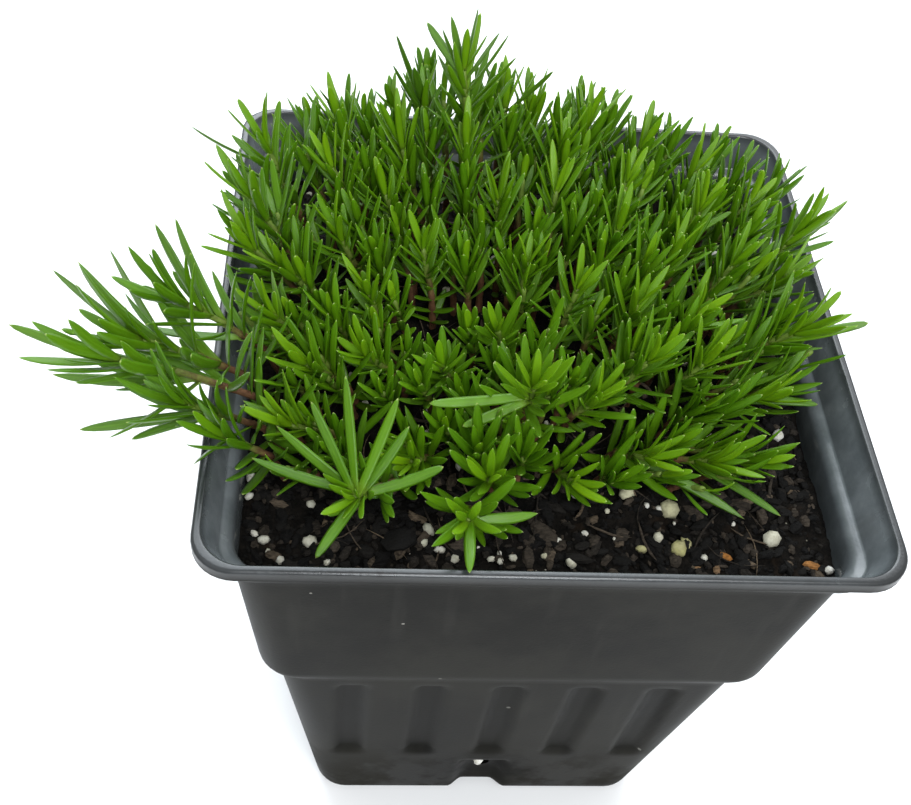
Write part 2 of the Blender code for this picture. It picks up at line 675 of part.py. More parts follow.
def place_stems(thicket):
    """A root and a path for every shoot. A root is drawn nearer the middle than its tip, and is
    drawn again while its stem touches another stem, the wall or the lip."""
    stems = []
    roots = []
    for number, (x, y, height, leaf) in enumerate(SHOOTS):
        draw = np.random.default_rng([PLANT_SEED, number])
        tip = np.array([x, y, POT_HEIGHT + height])
        for attempt in range(STEM_TRIES):
            spread = ROOT_SPREAD + ROOT_SPREAD_STEP * attempt
            root_xy = np.clip(tip[:2] * ROOT_PULL, -ROOT_REACH, ROOT_REACH)
            root_xy = root_xy + draw.uniform(-spread, spread, 2)
            root = np.array([*root_xy, float(soil_height(*root_xy))])
            near = [np.hypot(*(root_xy - other)) for other in roots]
            if near and min(near) < ROOT_SPACING:
                continue
            path = stem_path(root, tip, STEM_POINTS)
            bud = path[-1] + BUD_SHARE * leaf * unit(path[-1] - path[-2])
            path = np.vstack([path, bud])
            radii = np.linspace(STEM_BASE_RADIUS, STEM_TIP_RADIUS, STEM_POINTS)
            fine = stem_path(root, tip, STEM_FINE_POINTS)
            fine = fine[fine[:, 2] > soil_height(fine[:, 0], fine[:, 1]) + STEM_FREE_FROM]
            if clears_pot(fine, STEM_BASE_RADIUS) and thicket.clear(path, radii, number):
                break
        else:
            print("stem", number + 1, "has no clear path")
        thicket.add(path, radii, number)
        roots.append(root_xy)
        stems.append(path)
    return stems


def leaf_path(base, along, out, length, angle, curl):
    """Base, middle, three quarters and tip of a leaf that leaves its stem at an angle, curls away
    from it and turns up towards the light."""
    first, second = (
        unit(math.cos(angle + bend) * along + math.sin(angle + bend) * out + rise)
        for bend, rise in zip((-curl, curl), LEAF_RISE)
    )
    middle = base + BEND_AT * length * first
    outer = middle + THREE_QUARTERS * length * second
    return np.array([base, middle, outer, middle + (1 - BEND_AT) * length * second])


def long_leaf(path, back, tip, sag):
    """A leaf from a place on its stem to a known tip, its middle below the straight line."""
    base, along = point_back_along(path[:-1], back)
    reach = tip - base
    middle = base + reach / 2 - (0, 0, sag * np.linalg.norm(reach))
    outer = middle + 2 * THREE_QUARTERS * (tip - middle)
    out = unit(reach - (reach @ along) * along)
    return np.array([base, middle, outer, tip]), LONG_LEAF_WIDTH, out, along


def place_long_leaves(stems, thicket, leaves):
    """The long single leaves, each where it is clear of the pot and of what stands already."""
    radii = np.array(LEAF_ROOM) * LONG_LEAF_WIDTH
    for shoot, back, x, y, height, sag in LONG_LEAVES:
        leaf = long_leaf(stems[shoot - 1], back, np.array([x, y, POT_HEIGHT + height]), sag)
        samples = np.vstack([leaf[0][1:], (leaf[0][1:] + leaf[0][:-1]) / 2])
        clear = clears_pot(samples, LONG_LEAF_WIDTH / 2)
        if clear and thicket.clear(leaf[0], radii, shoot - 1, blade=True):
            thicket.add(leaf[0], radii, shoot - 1, blade=True)
            leaves[shoot - 1].append(leaf)
        else:
            print("long leaf of shoot", shoot, "to", x, y, "has no room")


def grow_leaves(stems, thicket):
    """Pairs of leaves down every shoot, tips first, so that the outermost ones find room first."""
    leaves = [[] for _ in SHOOTS]
    draws = [np.random.default_rng([PLANT_SEED, 100 + i]) for i in range(len(SHOOTS))]
    turns = [draw.uniform(0, 2 * math.pi) for draw in draws]
    place_long_leaves(stems, thicket, leaves)
    pairs = [
        LEAST_PAIRS + (shoot[3] > FIVE_PAIRS_FROM) + (shoot[3] > SIX_PAIRS_FROM) for shoot in SHOOTS
    ]
    for pair in range(max(pairs)):
        for number, path in enumerate(stems):
            if pair >= pairs[number]:
                continue
            draw = draws[number]
            full = SHOOTS[number][3]
            back = FIRST_PAIR_BACK + PAIR_PITCH * full * pair
            base, along = point_back_along(path[:-1], back)
            angle = math.radians(PAIR_ANGLES[pair])
            length = full * PAIR_LENGTHS[pair]
            for side in range(2):
                placed = try_leaf(
                    draw, base, along, turns[number] + pair * math.pi / 2 + side * math.pi,
                    angle, length, thicket, number,
                )
                if placed:
                    leaves[number].append(placed)
    return leaves, turns


def cross_axes(along):
    """Two directions square to the stem and to each other, from which its turns are counted."""
    across = unit(np.cross(along, (0.31, 0.94, 0.12)))
    return across, np.cross(along, across)


def point_back_along(path, distance):
    """The point this far back from the path's end, and the direction of the path there."""
    steps = np.linalg.norm(np.diff(path, axis=0), axis=1)
    for i in range(len(steps) - 1, -1, -1):
        if distance <= steps[i] or i == 0:
            along = unit(path[i + 1] - path[i])
            return path[i + 1] - along * min(distance, steps[i]), along
        distance -= steps[i]


def try_leaf(draw, base, along, turn, angle, length, thicket, number):
    """One leaf near the wanted turn and angle, drawn again until it is clear of everything."""
    across, other = cross_axes(along)
    for attempt in range(LEAF_TRIES):
        loose = SWING + SWING_STEP * attempt
        swing = turn + draw.uniform(-1, 1) * loose
        tilt = angle + draw.uniform(-1, 1) * (TILT + TILT_PER_SWING * loose)
        shorter = 1.0 if attempt < SHORT_FROM_TRY else SHORT_SHARE
        size = length * draw.uniform(*SIZE_RANGE) * shorter
        curl = draw.uniform(*CURL_RANGE)
        out = math.cos(swing) * across + math.sin(swing) * other
        path = leaf_path(base, along, out, size, max(tilt, LEAST_TILT), curl)
        width = np.clip(LEAF_WIDTH_RATIO * size, *LEAF_WIDTH_RANGE)
        radii = np.array(LEAF_ROOM) * width
        samples = np.vstack([path[1:], (path[1] + path[2]) / 2, (path[0] + path[1]) / 2])
        if clears_pot(samples, width / 2) and thicket.clear(path, radii, number, blade=True):
            thicket.add(path, radii, number, blade=True)
            return path, width, out, along
    return None


def blade_mesh(path, width, out, along):
    """A keeled blade: a flat upper side and a keel below it, from a narrow base to a sharp tip."""
    side = unit(np.cross(along, out))
    up = unit(np.cross(side, path[2] - path[0]))
    up = up if up @ along > 0 else -up
    shape = bmesh.new()
    rings = []
    for point, share in ((path[0], LEAF_BASE_WIDTH / width), (path[1], 1.0)):
        half = side * share * width / 2
        corners = (point + half, point - half, point - up * share * LEAF_THICKNESS)
        rings.append([shape.verts.new(corner) for corner in corners])
    tip = shape.verts.new(path[3])
    shape.faces.new(rings[0])
    for i in range(3):
        j = (i + 1) % 3
        shape.faces.new((rings[0][i], rings[0][j], rings[1][j], rings[1][i]))
        shape.faces.new((rings[1][i], rings[1][j], tip))
    return shape


def stem_object(name, path, turn, collection):
    """The stem from the foot in its hole to the pointed bud: a loft through four-cornered rings
    that taper, with its four flats turned to face the leaf pairs."""
    foot = np.array([path[0][0], path[0][1], SOIL_Z - STEM_DEPTH])
    points = np.vstack([foot, path])
    radii = [STEM_BASE_RADIUS, *np.linspace(STEM_BASE_RADIUS, STEM_TIP_RADIUS, len(path) - 1)]
    shape = bmesh.new()
    rings = []
    for i, radius in enumerate(radii):
        along = unit(points[i + 1] - points[max(i - 1, 0)])
        across, other = cross_axes(along)
        angles = [turn + math.pi * (0.25 + 0.5 * k) for k in range(4)]
        corners = [
            points[i] + radius * (math.cos(a) * across + math.sin(a) * other) for a in angles
        ]
        rings.append([shape.verts.new(corner) for corner in corners])
    bud = shape.verts.new(points[-1])
    for low, high in zip(rings, rings[1:]):
        for i in range(4):
            j = (i + 1) % 4
            shape.faces.new((low[i], low[j], high[j], high[i]))
    for i in range(4):
        shape.faces.new((rings[-1][i], rings[-1][(i + 1) % 4], bud))
    shape.faces.new(rings[0][::-1])
    return object_from_bmesh(name, shape, collection)


def make_shoots(collection):
    """Every leafy shoot as one solid. Returns the plan position of each stem's foot."""
    green = material("phlox_leaf", (0.050, 0.150, 0.010), 0.50)
    thicket = Thicket()
    stems = place_stems(thicket)
    leaves, turns = grow_leaves(stems, thicket)
    for number, path in enumerate(stems):
        name = f"shoot_{number + 1:02d}"
        shoot = stem_object(name, path, turns[number], collection)
        shoot.data.materials.append(green)
        blades = new_collection(name + "_leaves")
        for i, leaf in enumerate(leaves[number]):
            object_from_bmesh(f"{name}_leaf_{i}", blade_mesh(*leaf), blades)
        combine(shoot, "UNION", blades)
        shoot.data.shade_smooth()
        shoot.data.set_sharp_from_angle(angle=math.radians(40))
    print("leaves", sum(len(group) for group in leaves))
    return [tuple(path[0][:2]) for path in stems]


def main():
    clear_scene()
    collection = new_collection(COLLECTION)
    make_pot(collection)
    stems = make_shoots(collection)
    make_soil(collection, stems)


main()
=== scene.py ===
# %% [markdown]
# # A potted creeping phlox
#
# The real object is a young plant in a square nursery pot: a thin shell of dark plastic, the potting
# mix that fills it, and some sixty leafy shoots that root in the mix and spread over the rim.
# The solid model already holds each of these at its real size. This script gives every one its fine
# surface and its finish, in the same place, and so it starts by loading that model as a fixed frame.

import math

import bmesh
import bpy
import numpy as np
from mathutils import Matrix


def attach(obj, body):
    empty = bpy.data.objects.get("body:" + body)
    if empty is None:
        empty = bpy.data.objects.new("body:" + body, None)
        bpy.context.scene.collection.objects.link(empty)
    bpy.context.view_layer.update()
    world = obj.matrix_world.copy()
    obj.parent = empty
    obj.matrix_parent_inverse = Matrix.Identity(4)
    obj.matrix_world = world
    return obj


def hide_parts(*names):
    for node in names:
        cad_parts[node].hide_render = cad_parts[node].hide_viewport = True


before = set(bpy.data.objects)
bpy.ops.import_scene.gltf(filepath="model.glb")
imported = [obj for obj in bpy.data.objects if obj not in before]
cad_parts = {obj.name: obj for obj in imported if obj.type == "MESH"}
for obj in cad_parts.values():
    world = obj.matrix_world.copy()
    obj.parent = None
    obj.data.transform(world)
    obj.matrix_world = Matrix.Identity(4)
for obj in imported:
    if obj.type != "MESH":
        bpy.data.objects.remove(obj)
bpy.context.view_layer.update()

# %% [markdown]
# ## The camera
#
# The picture was taken from close by, a hand's length above the plant, with the phone tipped a
# little to one side. A camera could be aimed with a Track To constraint, but three turns say it more
# plainly: round the vertical, down from the horizontal, and the roll about its own axis.

# %% Camera
CAMERA_PLACE = (-0.03367, -0.15505, 0.28426)
CAMERA_AZIMUTH = math.radians(7.87)
CAMERA_ELEVATION = math.radians(49.64)
CAMERA_ROLL = math.radians(7.85)
CAMERA_LENS = 47.94
CAMERA_SENSOR = 36.0
CAMERA_NEAR = 0.01


def add_object(name, data):
    """An object in the scene that holds a camera, a mesh or a lamp."""
    made = bpy.data.objects.new(name, data)
    bpy.context.scene.collection.objects.link(made)
    return made


def make_camera():
    """A camera at its place, turned by its azimuth, its elevation and then its roll."""
    data = bpy.data.cameras.new("camera")
    data.lens = CAMERA_LENS
    data.sensor_width = CAMERA_SENSOR
    data.clip_start = CAMERA_NEAR
    camera = add_object("camera", data)
    turn = Matrix.Rotation(-CAMERA_AZIMUTH, 4, "Z")
    dip = Matrix.Rotation(math.pi / 2 - CAMERA_ELEVATION, 4, "X")
    roll = Matrix.Rotation(CAMERA_ROLL, 4, "Z")
    camera.matrix_world = Matrix.Translation(CAMERA_PLACE) @ turn @ dip @ roll
    bpy.context.scene.camera = camera
    return camera


print("camera", make_camera().name, "at", CAMERA_PLACE)

# %% [markdown]
# ## Making a surface
#
# Every new piece here is a surface whose points are worked out as whole arrays, so the pieces share
# one helper. It puts points and faces into a mesh, turns the faces over if the closed form would
# come out inside out, stores any value that the finish reads, and hangs the piece on the frame.
# Quads and triangles come apart because an array can't hold both.

# %% Mesh helpers
def inner_volume(points, corners):
    """Volume inside closed faces: the sum of the signed tetrahedra from the origin to each face."""
    a, b, c = points[corners[:, 0]], points[corners[:, 1]], points[corners[:, 2]]
    volume = np.einsum("ij,ij->", a, np.cross(b, c)) / 6
    if corners.shape[1] == 4:
        d = points[corners[:, 3]]
        volume += np.einsum("ij,ij->", a, np.cross(c, d)) / 6
    return volume


def store(mesh, values):
    """Keeps values on the mesh's points under their names, for the finish to read."""
    for key, value in values.items():
        attribute = mesh.attributes.new(key, "FLOAT", "POINT")
        attribute.data.foreach_set("value", np.asarray(value, np.float32).ravel())


def make_piece(name, points, quads, triangles, finish, nodes=(), values=None, smooth=True):
    """A mesh object in place, its faces turned outwards, riding on the frame's one body."""
    points = np.asarray(points, float).reshape(-1, 3)
    groups = [np.asarray(g, int) for g in (quads, triangles) if len(g)]
    if sum(inner_volume(points, g) for g in groups) < 0:
        groups = [g[:, ::-1] for g in groups]
    mesh = bpy.data.meshes.new(name)
    mesh.from_pydata(points.tolist(), [], [face for g in groups for face in g.tolist()])
    store(mesh, values or {})
    if smooth:
        mesh.shade_smooth()
    mesh.materials.append(finish)
    piece = add_object(name, mesh)
    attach(piece, "root")
    if nodes:
        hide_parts(*nodes)
    return piece


def grid_quads(rows, columns, closed=True):
    """Faces between neighbouring rows of points; a closed grid joins its last column to its first."""
    row, column = np.meshgrid(
        np.arange(rows - 1), np.arange(columns if closed else columns - 1), indexing="ij"
    )
    beside = (column + 1) % columns
    corners = (row * columns + column, row * columns + beside)
    upper = ((row + 1) * columns + beside, (row + 1) * columns + column)
    return np.stack([*corners, *upper], axis=-1).reshape(-1, 4)


def fan(pole, ring, flip=False):
    """Triangles from one pole point to a closed ring of points."""
    following = np.roll(ring, -1)
    sides = (following, ring) if flip else (ring, following)
    return np.stack([np.full(len(ring), pole), *sides], axis=-1)


def copies(faces, count, size):
    """The faces of one copy repeated for `count` copies whose points follow each other."""
    return (np.asarray(faces)[None] + size * np.arange(count)[:, None, None]).reshape(
        -1, np.shape(faces)[1]
    )


def around(count):
    """Evenly spaced angles once round."""
    return np.linspace(0, 2 * math.pi, count, endpoint=False)


def smooth_step(t):
    """Rises from 0 to 1 with level ends, as t goes from 0 to 1."""
    t = np.clip(t, 0, 1)
    return t * t * (3 - 2 * t)


def unit(vectors):
    return vectors / np.linalg.norm(vectors, axis=-1, keepdims=True)


print("helpers ready")

# %% [markdown]
# ## Building finishes
#
# A finish is a small tree of shader nodes. Adding nodes by hand takes four lines each, so these
# helpers make one in a line: a value that is a socket is linked, and any other is set.

# %% Node helpers
def node(tree, kind, inputs=None, **settings):
    """A shader node with its settings, each of its inputs linked to a socket or set to a value."""
    made = tree.nodes.new("ShaderNode" + kind)
    for key, value in settings.items():
        setattr(made, key, value)
    for key, value in (inputs or {}).items():
        if isinstance(value, bpy.types.NodeSocket):
            tree.links.new(value, made.inputs[key])
        else:
            made.inputs[key].default_value = value
    return made


def maths(tree, operation, first, second=0.0):
    return node(tree, "Math", {0: first, 1: second}, operation=operation).outputs[0]


def times(tree, first, second):
    return maths(tree, "MULTIPLY", first, second)


def blend(tree, share, first, second):
    """A colour between two colours, by a share from 0 to 1."""
    colours = {0: share, 6: first, 7: second}
    for key in (6, 7):
        if isinstance(colours[key], tuple):
            colours[key] = (*colours[key], 1.0)
    return node(tree, "Mix", colours, data_type="RGBA").outputs[2]


def paint(tree, colour, *layers):
    """Lays colours over a colour one after another, each by its own share."""
    for share, layer in layers:
        colour = blend(tree, share, colour, layer)
    return colour


def remap(tree, value, low, high, to_low=0.0, to_high=1.0):
    """The value's range from low to high carried onto another range, with smooth ends."""
    inputs = {"Value": value, 1: low, 2: high, 3: to_low, 4: to_high}
    return node(tree, "MapRange", inputs, interpolation_type="SMOOTHSTEP").outputs[0]


def noise(tree, place, scale, detail=3.0, roughness=0.5):
    inputs = {"Vector": place, "Scale": scale, "Detail": detail, "Roughness": roughness}
    return node(tree, "TexNoise", inputs).outputs[0]


def attribute(tree, name):
    return node(tree, "Attribute", attribute_name=name).outputs["Fac"]


def stretch(tree, place, scale):
    """The place measured in other steps along X, Y and Z, which draws a pattern out."""
    return node(tree, "Mapping", {"Vector": place, "Scale": scale}).outputs[0]


def new_finish(name, roughness=0.5):
    """A material with its shader, and the place on the object that its patterns follow."""
    finish = bpy.data.materials.new(name)
    finish.use_nodes = True
    tree = finish.node_tree
    shader = tree.nodes["Principled BSDF"]
    shader.inputs["Roughness"].default_value = roughness
    place = node(tree, "TexCoord").outputs["Object"]
    return finish, tree, shader, place


def feed(tree, shader, **sockets):
    """Links sockets to the shader's inputs; an underscore stands for a space."""
    for key, socket in sockets.items():
        tree.links.new(socket, shader.inputs[key.replace("_", " ")])


def bump(tree, height, distance, strength):
    inputs = {"Height": height, "Distance": distance, "Strength": strength}
    return node(tree, "Bump", inputs).outputs[0]


print("node helpers ready")

# %% [markdown]
# ## Wear that several finishes share
#
# Nothing on this object is one even colour. Plastic has cloudy patches, bark has blotches and
# perlite has stains, all at different sizes. One group holds that effect: two layers of noise, one
# coarse and one fine, weighed together into a mask and a height. Each finish places the group with
# its own sizes. A second group scatters small specks, which show as dust on the pot and on the mix.

# %% Shared shader groups
def new_group(name, inputs, outputs):
    group = bpy.data.node_groups.new(name, "ShaderNodeTree")
    for label, kind, value in inputs:
        socket = group.interface.new_socket(label, in_out="INPUT", socket_type=kind)
        if value is not None:
            socket.default_value = value
    for label, kind in outputs:
        group.interface.new_socket(label, in_out="OUTPUT", socket_type=kind)
    start = group.nodes.new("NodeGroupInput")
    end = group.nodes.new("NodeGroupOutput")
    return group, start.outputs, end.inputs


def make_patchiness():
    """Mask = coarse noise, moved towards fine noise by a share, then pushed apart by contrast."""
    group, given, result = new_group(
        "patchiness",
        [
            ("Place", "NodeSocketVector", None),
            ("Coarse Scale", "NodeSocketFloat", 40.0),
            ("Fine Scale", "NodeSocketFloat", 400.0),
            ("Fine Share", "NodeSocketFloat", 0.4),
            ("Low", "NodeSocketFloat", 0.3),
            ("High", "NodeSocketFloat", 0.7),
        ],
        [("Mask", "NodeSocketFloat"), ("Height", "NodeSocketFloat")],
    )
    coarse = noise(group, given["Place"], given["Coarse Scale"])
    fine = noise(group, given["Place"], given["Fine Scale"], detail=4.0, roughness=0.6)
    mixed = node(group, "Mix", {0: given["Fine Share"], 2: coarse, 3: fine}).outputs[0]
    mask = remap(group, mixed, given["Low"], given["High"])
    group.links.new(mask, result["Mask"])
    group.links.new(mixed, result["Height"])
    return group


def make_specks():
    """Mask = 1 near the middle of some Voronoi cells: those whose random value is over a limit."""
    group, given, result = new_group(
        "specks",
        [
            ("Place", "NodeSocketVector", None),
            ("Scale", "NodeSocketFloat", 100.0),
            ("Size", "NodeSocketFloat", 0.05),
            ("Share", "NodeSocketFloat", 0.3),
        ],
        [("Mask", "NodeSocketFloat")],
    )
    cells = node(group, "TexVoronoi", {"Vector": given["Place"], "Scale": given["Scale"]})
    near = maths(group, "LESS_THAN", cells.outputs["Distance"], given["Size"])
    red = node(group, "SeparateColor", {"Color": cells.outputs["Color"]}).outputs[0]
    chosen = maths(group, "LESS_THAN", red, given["Share"])
    group.links.new(times(group, near, chosen), result["Mask"])
    return group


PATCHINESS = make_patchiness()
SPECKS = make_specks()


def patches(tree, place, coarse, fine, share, low=0.3, high=0.7):
    """Places the patchiness group and returns its mask and height sockets."""
    inputs = {
        "Place": place, "Coarse Scale": coarse, "Fine Scale": fine, "Fine Share": share,
        "Low": low, "High": high,
    }
    made = node(tree, "Group", inputs, node_tree=PATCHINESS)
    return made.outputs["Mask"], made.outputs["Height"]


def specks(tree, place, scale, size, share):
    inputs = {"Place": place, "Scale": scale, "Size": size, "Share": share}
    return node(tree, "Group", inputs, node_tree=SPECKS).outputs["Mask"]


print("groups", [g.name for g in bpy.data.node_groups])

# %% [markdown]
# ## The pot
#
# A nursery pot is formed from one sheet of plastic sucked over a mould, so its wall is thin and even
# and every edge is round. It could be a box with bevels and cut grooves, but the corners would then
# shade badly. Here the shell is one closed surface instead: a profile carried round a square with
# round corners, up the outside, over the lip and down the inside. The sizes are the solid's.

# %% The pot's sizes
POT_HEIGHT = 0.1266
RIM_HALF = 0.0570
MOUTH_HALF = 0.0532
MOUTH_TOP_HALF = 0.0555
COLLAR_HALF = 0.0542
COLLAR_TOP_HALF = 0.0556
UPPER_WALL_HALF = 0.0522
SHOULDER_HALF = 0.0490
LOWER_WALL_HALF = 0.0460
FOOT_HALF = 0.0385
WALL = 0.0010
CORNER_RADIUS = 0.0070
COLLAR_Z = 0.1186
SKIRT_DROP = 0.0027
LIP_RADIUS = 0.0006
EDGE_RADIUS = 0.0004
SHOULDER_SPAN = (0.0704, 0.0790)
FOOT_RADIUS = 0.0035
LEDGE_BELOW = 0.0011
LEDGE_ABOVE = 0.0007
INNER_LEDGE = 0.0012
SKIRT_GAP = 0.0002
SKIRT_Z = POT_HEIGHT - SKIRT_DROP
FOOT_INWARD = (-0.4, 1.0)
SIDE_CELLS = 84
CORNER_CELLS = 9
BASE_ROWS = 11


def arc(centre, radius, start, end, count):
    """(half width, height) points on an arc, its angles in degrees from outwards towards up."""
    angle = np.radians(np.linspace(start, end, count))
    return np.stack([centre[0] + radius * np.cos(angle), centre[1] + radius * np.sin(angle)], 1)


def run(start, end, count):
    """Evenly spaced points from just after the start to the end."""
    share = np.linspace(0, 1, count + 1)[1:, None]
    return np.array(start) + share * (np.array(end) - np.array(start))


def ease(start, end, count):
    """Like a run, but the width eases in and out while the height rises evenly: an S-curve."""
    share = np.linspace(0, 1, count + 1)[1:]
    width = start[0] + smooth_step(share) * (end[0] - start[0])
    return np.stack([width, start[1] + share * (end[1] - start[1])], 1)


def wall_profile():
    """The outer wall from the foot to the collar's ledge."""
    middle = (FOOT_HALF - FOOT_RADIUS, FOOT_RADIUS)
    foot = arc(middle, FOOT_RADIUS, start=-90, end=-5, count=8)
    lower = (LOWER_WALL_HALF, SHOULDER_SPAN[0])
    shoulder = (SHOULDER_HALF, SHOULDER_SPAN[1])
    upper = (UPPER_WALL_HALF, COLLAR_Z - LEDGE_BELOW)
    ledge = (COLLAR_HALF, COLLAR_Z + LEDGE_ABOVE)
    return np.vstack([
        foot, run(foot[-1], lower, count=52), ease(lower, shoulder, count=9),
        run(shoulder, upper, count=12), ease(upper, ledge, count=5),
    ])


def lip_profile():
    """The collar, the lip that stands out past it, its flat top and the inner side of the collar."""
    top = POT_HEIGHT - EDGE_RADIUS
    ledge = (COLLAR_HALF, COLLAR_Z + LEDGE_ABOVE)
    collar = run(ledge, (COLLAR_TOP_HALF, SKIRT_Z - SKIRT_GAP), count=4)
    low_edge = (RIM_HALF - EDGE_RADIUS, SKIRT_Z + EDGE_RADIUS)
    high_edge = (RIM_HALF - LIP_RADIUS, POT_HEIGHT - LIP_RADIUS)
    inner_edge = (MOUTH_TOP_HALF + EDGE_RADIUS, top)
    inner_side = run((MOUTH_TOP_HALF, top), (MOUTH_HALF, COLLAR_Z + INNER_LEDGE), count=4)
    return np.vstack([
        collar, arc(low_edge, EDGE_RADIUS, start=-100, end=-5, count=4),
        arc(high_edge, LIP_RADIUS, start=-5, end=90, count=8),
        arc(inner_edge, EDGE_RADIUS, start=90, end=180, count=5), inner_side[:-1],
    ])


def inner_profile(outer):
    """The wall's inner side: each outer point moved in square to its neighbours' line, then
    taken from the top down."""
    along = unit(np.gradient(outer, axis=0))
    inward = np.stack([-along[:, 1], along[:, 0]], axis=1)
    inward[0] = FOOT_INWARD
    moved = outer + WALL * inward
    moved[:, 1] = np.maximum.accumulate(moved[:, 1])
    return moved[::-1]


print("outer wall points", len(wall_profile()), "lip points", len(lip_profile()))

# %% [markdown]
# Five upright flutes stiffen each lower wall, and a recess at the foot lets water out. A Boolean
# would leave hard creases, so the grooves are pressed in by a formula: across a groove the wall is
# held back from its plane by a depth that rises and falls smoothly over the sloping flanks.

# %% Grooves in the wall
FLUTE_PITCH = 0.0155
FLUTE_WIDTH = 0.0072
FLUTE_DEPTH = 0.0013
FLUTE_SPAN = (0.0275, 0.0683)
RECESS_WIDTH = 0.0130
RECESS_DEPTH = 0.0022
RECESS_SPAN = (-0.0060, 0.0225)
FLANK_SLOPE = 1.3
FLANK_EASE = 0.0004
BASE_FADE = (0.012, 0.032)


def groove_depth(across, up, width, depth, span):
    """Depth of a groove at a place on a wall: full on its floor, and easing to nothing over its
    flanks, which are as wide as the depth times the slope."""
    flank = FLANK_SLOPE * depth + 2 * FLANK_EASE
    sides = smooth_step((width / 2 + FLANK_EASE - np.abs(across)) / flank)
    bottom = smooth_step((up - span[0] + FLANK_EASE) / flank)
    top = smooth_step((span[1] + FLANK_EASE - up) / flank)
    return depth * sides * bottom * top


def wall_depth(across, up):
    """The deepest of the five flutes and the recess at each place on a wall."""
    nearest = np.clip(np.round(across / FLUTE_PITCH), -2, 2) * FLUTE_PITCH
    flute = groove_depth(across - nearest, up, FLUTE_WIDTH, FLUTE_DEPTH, FLUTE_SPAN)
    recess = groove_depth(across, up, RECESS_WIDTH, RECESS_DEPTH, RECESS_SPAN)
    return np.maximum(flute, recess)


def square_rings(profile, corner):
    """Points of a rounded square at each (half width, height): the straight run of each side,
    then a quarter circle. `corner` is the corner's radius at each profile point. The grooves
    fade out over the narrow rings of the base."""
    straight = np.linspace(-1, 1, SIDE_CELLS + 1)[:-1]
    quarter = np.linspace(-math.pi / 2, 0, CORNER_CELLS + 1)[:-1]
    reach = np.concatenate([straight, np.ones(CORNER_CELLS)])
    bend = np.stack([np.cos(quarter), np.sin(quarter)], 1)
    round_part = np.vstack([np.tile((0.0, -1.0), (SIDE_CELLS, 1)), bend])
    frame_part = np.stack([reach, -np.ones(len(reach))], 1)
    half, height = profile[:, 0], profile[:, 1]
    inset = np.minimum(half, corner)
    sides = []
    for side in range(4):
        flat = (half - inset)[:, None, None] * frame_part + inset[:, None, None] * round_part
        x, y = flat[..., 0], flat[..., 1]
        share = smooth_step((half - BASE_FADE[0]) / (BASE_FADE[1] - BASE_FADE[0]))
        held = wall_depth(x, height[:, None]) * share[:, None]
        y = np.maximum(y, held - half[:, None])
        angle = side * math.pi / 2
        sides.append(np.stack([
            x * math.cos(angle) - y * math.sin(angle),
            x * math.sin(angle) + y * math.cos(angle),
            np.broadcast_to(height[:, None], x.shape),
        ], axis=-1))
    return np.concatenate(sides, axis=1)


print("deepest groove mm", max(FLUTE_DEPTH, RECESS_DEPTH) * 1000)

# %% [markdown]
# The shell then closes underneath, with the base's rings shrinking to one point outside and one
# inside, and its drain holes are cut: an oval one in each recess and four round ones in the base.

# %% The pot's shell
DRAIN_HALF_WIDTH = 0.0019
DRAIN_SPAN = (0.0148, 0.0203)
BASE_HOLE_RADIUS = 0.0040
BASE_HOLE_OFFSET = 0.0250
ROD_SIDES = 24
LEVEL_ROD = (-0.006, 0.012)
UPRIGHT_ROD = (-0.005, 0.005)
SHARP_ANGLE = math.radians(50)


def oval_cutter(side):
    """A rod with an oval section, level, through the foot of one wall."""
    angle = around(ROD_SIDES)
    lift = np.where(np.sin(angle) > 0, DRAIN_SPAN[1], DRAIN_SPAN[0])
    x = DRAIN_HALF_WIDTH * np.cos(angle)
    z = lift + DRAIN_HALF_WIDTH * np.sin(angle)
    ring = np.stack([x, np.zeros(ROD_SIDES), z], 1)
    rod = np.stack([ring + (0, -FOOT_HALF + reach, 0) for reach in LEVEL_ROD])
    turn = np.array(Matrix.Rotation(side * math.pi / 2, 3, "Z"))
    return rod.reshape(-1, 3) @ turn.T


def round_cutter(side):
    """An upright rod through one quarter of the base."""
    angle = around(ROD_SIDES)
    corner = (side + 0.5) * math.pi / 2
    x = BASE_HOLE_OFFSET * math.sqrt(2) * math.cos(corner) + BASE_HOLE_RADIUS * np.cos(angle)
    y = BASE_HOLE_OFFSET * math.sqrt(2) * math.sin(corner) + BASE_HOLE_RADIUS * np.sin(angle)
    return np.vstack([np.stack([x, y, np.full(ROD_SIDES, z)], 1) for z in UPRIGHT_ROD])


def recalculate_normals(mesh):
    """Turns every face of a closed mesh outwards."""
    shape = bmesh.new()
    shape.from_mesh(mesh)
    bmesh.ops.recalc_face_normals(shape, faces=shape.faces)
    shape.to_mesh(mesh)
    shape.free()


def cut_holes(piece):
    """Cuts the eight drain holes with one applied Boolean."""
    rods = [cutter(side) for side in range(4) for cutter in (oval_cutter, round_cutter)]
    sides = copies(grid_quads(2, ROD_SIDES), len(rods), 2 * ROD_SIDES).tolist()
    ends = range(0, 2 * len(rods) * ROD_SIDES, ROD_SIDES)
    caps = [list(range(end, end + ROD_SIDES)) for end in ends]
    mesh = bpy.data.meshes.new("drain_cutters")
    mesh.from_pydata(np.vstack(rods).tolist(), [], sides + caps)
    cutter = add_object("drain_cutters", mesh)
    recalculate_normals(mesh)
    modifier = piece.modifiers.new("holes", "BOOLEAN")
    modifier.operation = "DIFFERENCE"
    modifier.object = cutter
    graph = bpy.context.evaluated_depsgraph_get()
    cut = bpy.data.meshes.new_from_object(piece.evaluated_get(graph))
    piece.modifiers.clear()
    piece.data = cut
    bpy.data.objects.remove(cutter)
    cut.shade_smooth()
    cut.set_sharp_from_angle(angle=SHARP_ANGLE)


